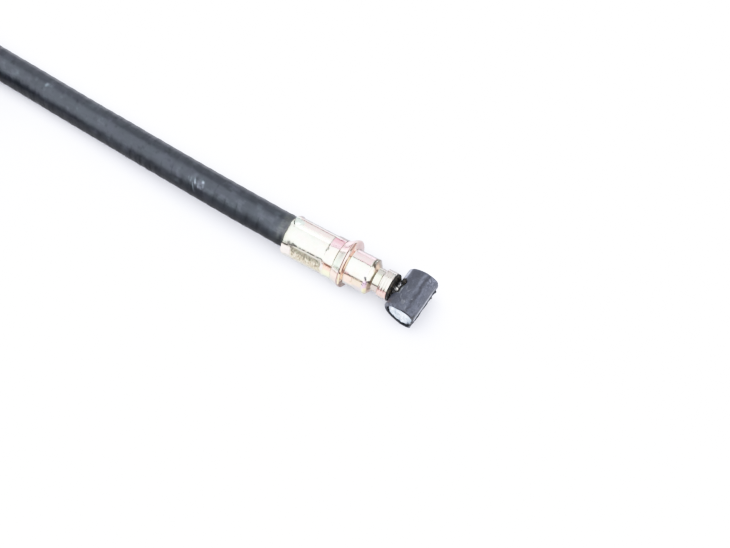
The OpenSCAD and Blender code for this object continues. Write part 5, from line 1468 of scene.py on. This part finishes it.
def nipple():
    """Die-cast far nipple, cast on the flared wire end, with a parting line and the cut gate."""
    m = 96
    phi = (np.arange(m) * 360.0 / m)[None, :]
    st = [(-58.0, 1.3), (-58.0, 1.9), (-58.0, 2.5), (-57.96, 2.8), (-57.8, 3.02), (-57.55, 3.2), (-57.3, 3.24)] + [(x, 3.24) for x in np.arange(-56.9, -50.7, 0.25)]
    st += [(-50.6, 3.24), (-50.4, 3.18), (-50.2, 3.0), (-50.04, 2.78), (-50.0, 2.6), (-50.0, 2.2), (-50.02, 1.8), (-50.1, 1.35), (-50.14, 1.0), (-50.16, 0.6), (-50.17, 0.2)]
    st = [(-52.0, 1.28)] + st
    o = np.array(st)
    x, r = o[:, 0:1] + 0 * phi, o[:, 1:2] + 0 * phi
    place = np.stack([x, r * np.sin(np.radians(phi)), r * np.cos(np.radians(phi))], -1)
    side = band(x, -57.6, -50.4, 0.15) * (r > 2.5)
    seam = np.exp(-((wrap(phi - 90) / 2.0) ** 2)) + np.exp(-((wrap(phi + 90) / 2.0) ** 2))
    r = r + side * (0.02 * fbm(place * 0.5, 3, 91) + 0.05 * seam)
    gate = np.exp(-(((x + 54.0) / 0.75) ** 2) - (wrap(phi - 90) / 13) ** 2)
    r = r + side * 0.14 * sm(0.25, 0.5, gate) * (1 + 0.4 * perlin(place * 1.5))
    front = sm(-50.5, -50.05, x)
    x = x - front * 0.06 * fbm(place * np.array([0, 0.8, 0.8]), 3, 92) * (r < 2.7)
    v = around(x, r, phi, FAR_Y, FAR_Z)
    nu = len(o)
    c0, c1 = v[0].mean(0), v[-1].mean(0)
    verts = np.concatenate([v.reshape(-1, 3), [c0, c1]])
    build("far_nipple_cast", verts, [quads(nu, m), fans(nu, m, nu * m, nu * m + 1)], CAST, "far_wire", ["far_nipple"], sharp=40)


nipple()


# ---------------------------------------------------------------- strap tie
def tie():
    """Strap tie round the four turns: a toothed strap bent round them, its head outside, its tail cut off past the head."""
    cx, cy, cz = -206.5, -41.5, 3.9
    half, rc = 8.8, 4.0
    # centre line of the strap in the XZ plane, clockwise from the head
    pts = []
    k = half + 0.6

    def corner(sx, sz, a0, a1):
        for a in np.linspace(a0, a1, 9):
            pts.append((sx * (k - rc) + rc * math.cos(math.radians(a)), sz * (k - rc) + rc * math.sin(math.radians(a))))

    pts.append((-k, -0.4))
    for z in np.linspace(-1.2, -(k - rc) + 0.3, 5):
        pts.append((-k, z))
    corner(-1, -1, 180, 270)
    for x in np.linspace(-(k - rc) + 1, k - rc - 1, 10):
        pts.append((x, -k))
    corner(1, -1, 270, 360)
    for z in np.linspace(-(k - rc) + 1, k - rc - 1, 10):
        pts.append((k, z))
    corner(1, 1, 0, 90)
    for x in np.linspace(k - rc - 1, -(k - rc) + 1, 10):
        pts.append((x, k))
    corner(-1, 1, 90, 180)
    for z in np.linspace(k - rc - 0.4, 0.4, 6):
        pts.append((-k, z))
    p = spline([[x, 0, z] for x, z in pts], 0.22)
    t = np.gradient(p, axis=0)
    t /= np.linalg.norm(t, axis=1)[:, None]
    nrm = np.stack([t[:, 2], 0 * t[:, 0], -t[:, 0]], -1)  # outward for this turning
    if (nrm * p).sum() < 0:
        nrm = -nrm
    s = np.concatenate([[0], np.cumsum(np.linalg.norm(np.diff(p, axis=0), axis=1))])
    tooth = 0.26 * (1 - (s / 0.88) % 1.0)
    # section: 4.8 wide, 1.2 thick, teeth in the middle of the outer side, rails at its edges
    sec = [(-2.4, -0.45), (-2.15, -0.6), (2.15, -0.6), (2.4, -0.45), (2.4, 0.42), (2.15, 0.58), (1.7, 0.58), (1.55, None), (-1.55, None), (-1.7, 0.58), (-2.15, 0.58), (-2.4, 0.42)]
    rings = []
    for i in range(len(p)):
        ring = []
        for w, d in sec:
            d = (0.12 + tooth[i]) if d is None else d
            ring.append(p[i] + np.array([0, w, 0]) + nrm[i] * d)
        rings.append(ring)
    rings = np.array(rings)
    nu, m = rings.shape[:2]
    v = rings.reshape(-1, 3)
    verts = [np.concatenate([v, [rings[0].mean(0), rings[-1].mean(0)]])]
    faces = [quads(nu, m), fans(nu, m, nu * m, nu * m + 1)]
    count = len(verts[0])

    # head: a rounded block with a slot for the strap and its pawl
    def block(x0, x1, y0, y1, z0, z1, bevel, seg=3):
        nonlocal count
        import bmesh

        bm = bmesh.new()
        bmesh.ops.create_cube(bm, size=1.0)
        bmesh.ops.scale(bm, vec=(x1 - x0, y1 - y0, z1 - z0), verts=bm.verts)
        bmesh.ops.translate(bm, vec=((x0 + x1) / 2, (y0 + y1) / 2, (z0 + z1) / 2), verts=bm.verts)
        bmesh.ops.bevel(bm, geom=bm.edges[:], offset=bevel, segments=seg, profile=0.6, affect="EDGES")
        bmesh.ops.recalc_face_normals(bm, faces=bm.faces)
        bm.verts.index_update()
        vv = np.array([q.co[:] for q in bm.verts])
        by = {}
        for f in bm.faces:
            by.setdefault(len(f.verts), []).append([q.index + count for q in f.verts])
        bm.free()
        count += len(vv)
        verts.append(vv)
        return [np.array(f) for f in by.values()]

    hx0, hx1 = -12.45, -8.9
    walls = []
    walls += block(hx0, hx1 - 0.0, -3.45, -2.55, -2.95, 2.95, 0.28)
    walls += block(hx0, hx1 - 0.0, 2.55, 3.45, -2.95, 2.95, 0.28)
    walls += block(hx0, hx0 + 0.95, -2.7, 2.7, -2.95, 2.95, 0.22)
    walls += block(hx1 - 1.45, hx1 - 0.95, -2.7, 2.7, -2.95, 2.95, 0.12)
    walls += block(hx0 + 0.7, hx1 - 1.2, -2.7, 2.7, -2.7, -1.9, 0.12)
    walls += block(hx0 + 1.0, hx0 + 1.75, -1.5, 1.5, -1.2, 2.3, 0.15)
    # tail, cut off just past the head
    walls += block(hx1 - 2.35, hx1 - 1.25, -2.35, 2.35, 2.2, 4.6, 0.10, 2)
    faces += walls
    v = np.concatenate(verts) + np.array([cx, cy, cz])
    build("coil_tie_strap", v, faces, TIE, "conduit", ["coil_tie"], sharp=35, flip=False)


tie()

# ---------------------------------------------------------------- floor and light
floor_shader = Shader("floor")
floor_at = floor_shader.node("TexCoord").outputs["Object"]
floor_tone = floor_shader.noise(floor_at, 3.0, 2.0, 0.5)
# painted light: the floor is paler behind the cable, towards +Y, than in front of it, which lightens the cable's shade
# on that side
behind = floor_shader.level(floor_shader.split(floor_at)[1], -0.004, 0.010)
floor_shader.set(
    Base_Color=floor_shader.mix(behind, floor_shader.ramp(floor_tone, (0.3, (0.695, 0.70, 0.745)), (0.7, (0.715, 0.72, 0.765))), (0.815, 0.82, 0.86)),
    Roughness=0.9, Specular_IOR_Level=0.0,
)
floor_mesh = bpy.data.meshes.new("floor")
w = 4.0
floor_mesh.from_pydata([(-w, -w, FLOOR_Z * 0.001), (w, -w, FLOOR_Z * 0.001), (w, w, FLOOR_Z * 0.001), (-w, w, FLOOR_Z * 0.001)], [], [(0, 1, 2, 3)])
floor_mesh.materials.append(floor_shader.mat)
floor = bpy.data.objects.new("floor", floor_mesh)
scene.collection.objects.link(floor)

world = bpy.data.worlds.new("studio")
scene.world = world
world.use_nodes = True
wt = world.node_tree
for n in list(wt.nodes):
    wt.nodes.remove(n)


def wn(kind, props=None, **inputs):
    n = wt.nodes.new("ShaderNode" + kind)
    for k, v in (props or {}).items():
        setattr(n, k, v)
    for k, v in inputs.items():
        s = n.inputs[k.replace("_", " ")]
        if isinstance(v, bpy.types.NodeSocket):
            wt.links.new(v, s)
        else:
            s.default_value = v
    return n


def wmath(op, a, b=0.0):
    n = wn("Math", {"operation": op})
    for s, v in zip(n.inputs, (a, b)):
        if isinstance(v, bpy.types.NodeSocket):
            wt.links.new(v, s)
        else:
            s.default_value = v
    return n.outputs[0]


# A long soft box overhead and in front, a paler lavender wall behind, dark gaps between them and at the horizon
axis = wn("SeparateXYZ", Vector=wn("TexCoord").outputs["Generated"])
turned_by = wmath("ARCTAN2", wmath("MULTIPLY", axis.outputs[1], -1.0), axis.outputs[2])
share = wmath("ADD", wmath("MULTIPLY", turned_by, 0.5 / math.pi), 0.5)
bands = wn("ValToRGB", Fac=share)
stops = [
    (-180, (0.30, 0.30, 0.33)), (-98, (0.30, 0.30, 0.33)), (-92, (0.05, 0.05, 0.06)), (-85, (0.06, 0.06, 0.07)), (-79, (0.86, 0.87, 0.92)),
    (-60, (0.93, 0.94, 0.99)), (-35, (1.00, 1.01, 1.06)), (-32.5, (0.12, 0.12, 0.13)), (-28.5, (0.12, 0.12, 0.13)), (-26, (2.10, 2.13, 2.22)),
    (20, (2.35, 2.38, 2.48)), (77, (2.20, 2.22, 2.30)), (80.5, (0.05, 0.05, 0.05)), (98, (0.05, 0.05, 0.05)), (100, (0.30, 0.30, 0.33)), (180, (0.30, 0.30, 0.33)),
]
ramp = bands.color_ramp
while len(ramp.elements) < len(stops):
    ramp.elements.new(0.5)
for e, (deg, colour) in zip(ramp.elements, stops):
    e.position = deg / 360 + 0.5
    e.color = (*colour, 1)
side = wn("MapRange", {"interpolation_type": "SMOOTHSTEP"}, Value=wmath("ABSOLUTE", axis.outputs[0]), From_Min=0.80, From_Max=0.97, To_Min=0.0, To_Max=1.0).outputs[0]
ends = wn("Mix", {"data_type": "RGBA"})
wt.links.new(side, ends.inputs[0])
wt.links.new(bands.outputs["Color"], ends.inputs[6])
ends.inputs[7].default_value = (0.95, 0.96, 1.00, 1)
seen = wn("LightPath").outputs["Is Camera Ray"]
pick = wn("Mix", {"data_type": "RGBA"})
wt.links.new(seen, pick.inputs[0])
wt.links.new(ends.outputs[2], pick.inputs[6])
pick.inputs[7].default_value = (1.0, 1.0, 1.0, 1)
bg = wn("Background", Strength=1.0)
wt.links.new(pick.outputs[2], bg.inputs["Color"])
out = wn("OutputWorld")
wt.links.new(bg.outputs[0], out.inputs["Surface"])

scene.view_settings.view_transform = "Standard"
scene.view_settings.look = "None"
scene.view_settings.exposure = 0.0
scene.view_settings.gamma = 1.0
scene.view_settings.use_curve_mapping = True
tone = scene.view_settings.curve_mapping
tone.white_level = (1.4, 1.4, 1.4)
tone.extend = "HORIZONTAL"
curve = tone.curves[3]
shape = [(0.0, 0.0), (0.05, 0.060), (0.1, 0.120), (0.2, 0.245), (0.35, 0.43), (0.5, 0.615), (0.6, 0.72), (0.71, 0.80), (0.82, 0.87), (0.95, 0.935), (1.1, 0.985), (1.25, 1.0), (1.4, 1.0)]
curve.points[0].location = (0.0, 0.0)
curve.points[1].location = (1.0, 1.0)
for x, y in shape[1:-1]:
    curve.points.new(x / 1.4, y)
tone.update()
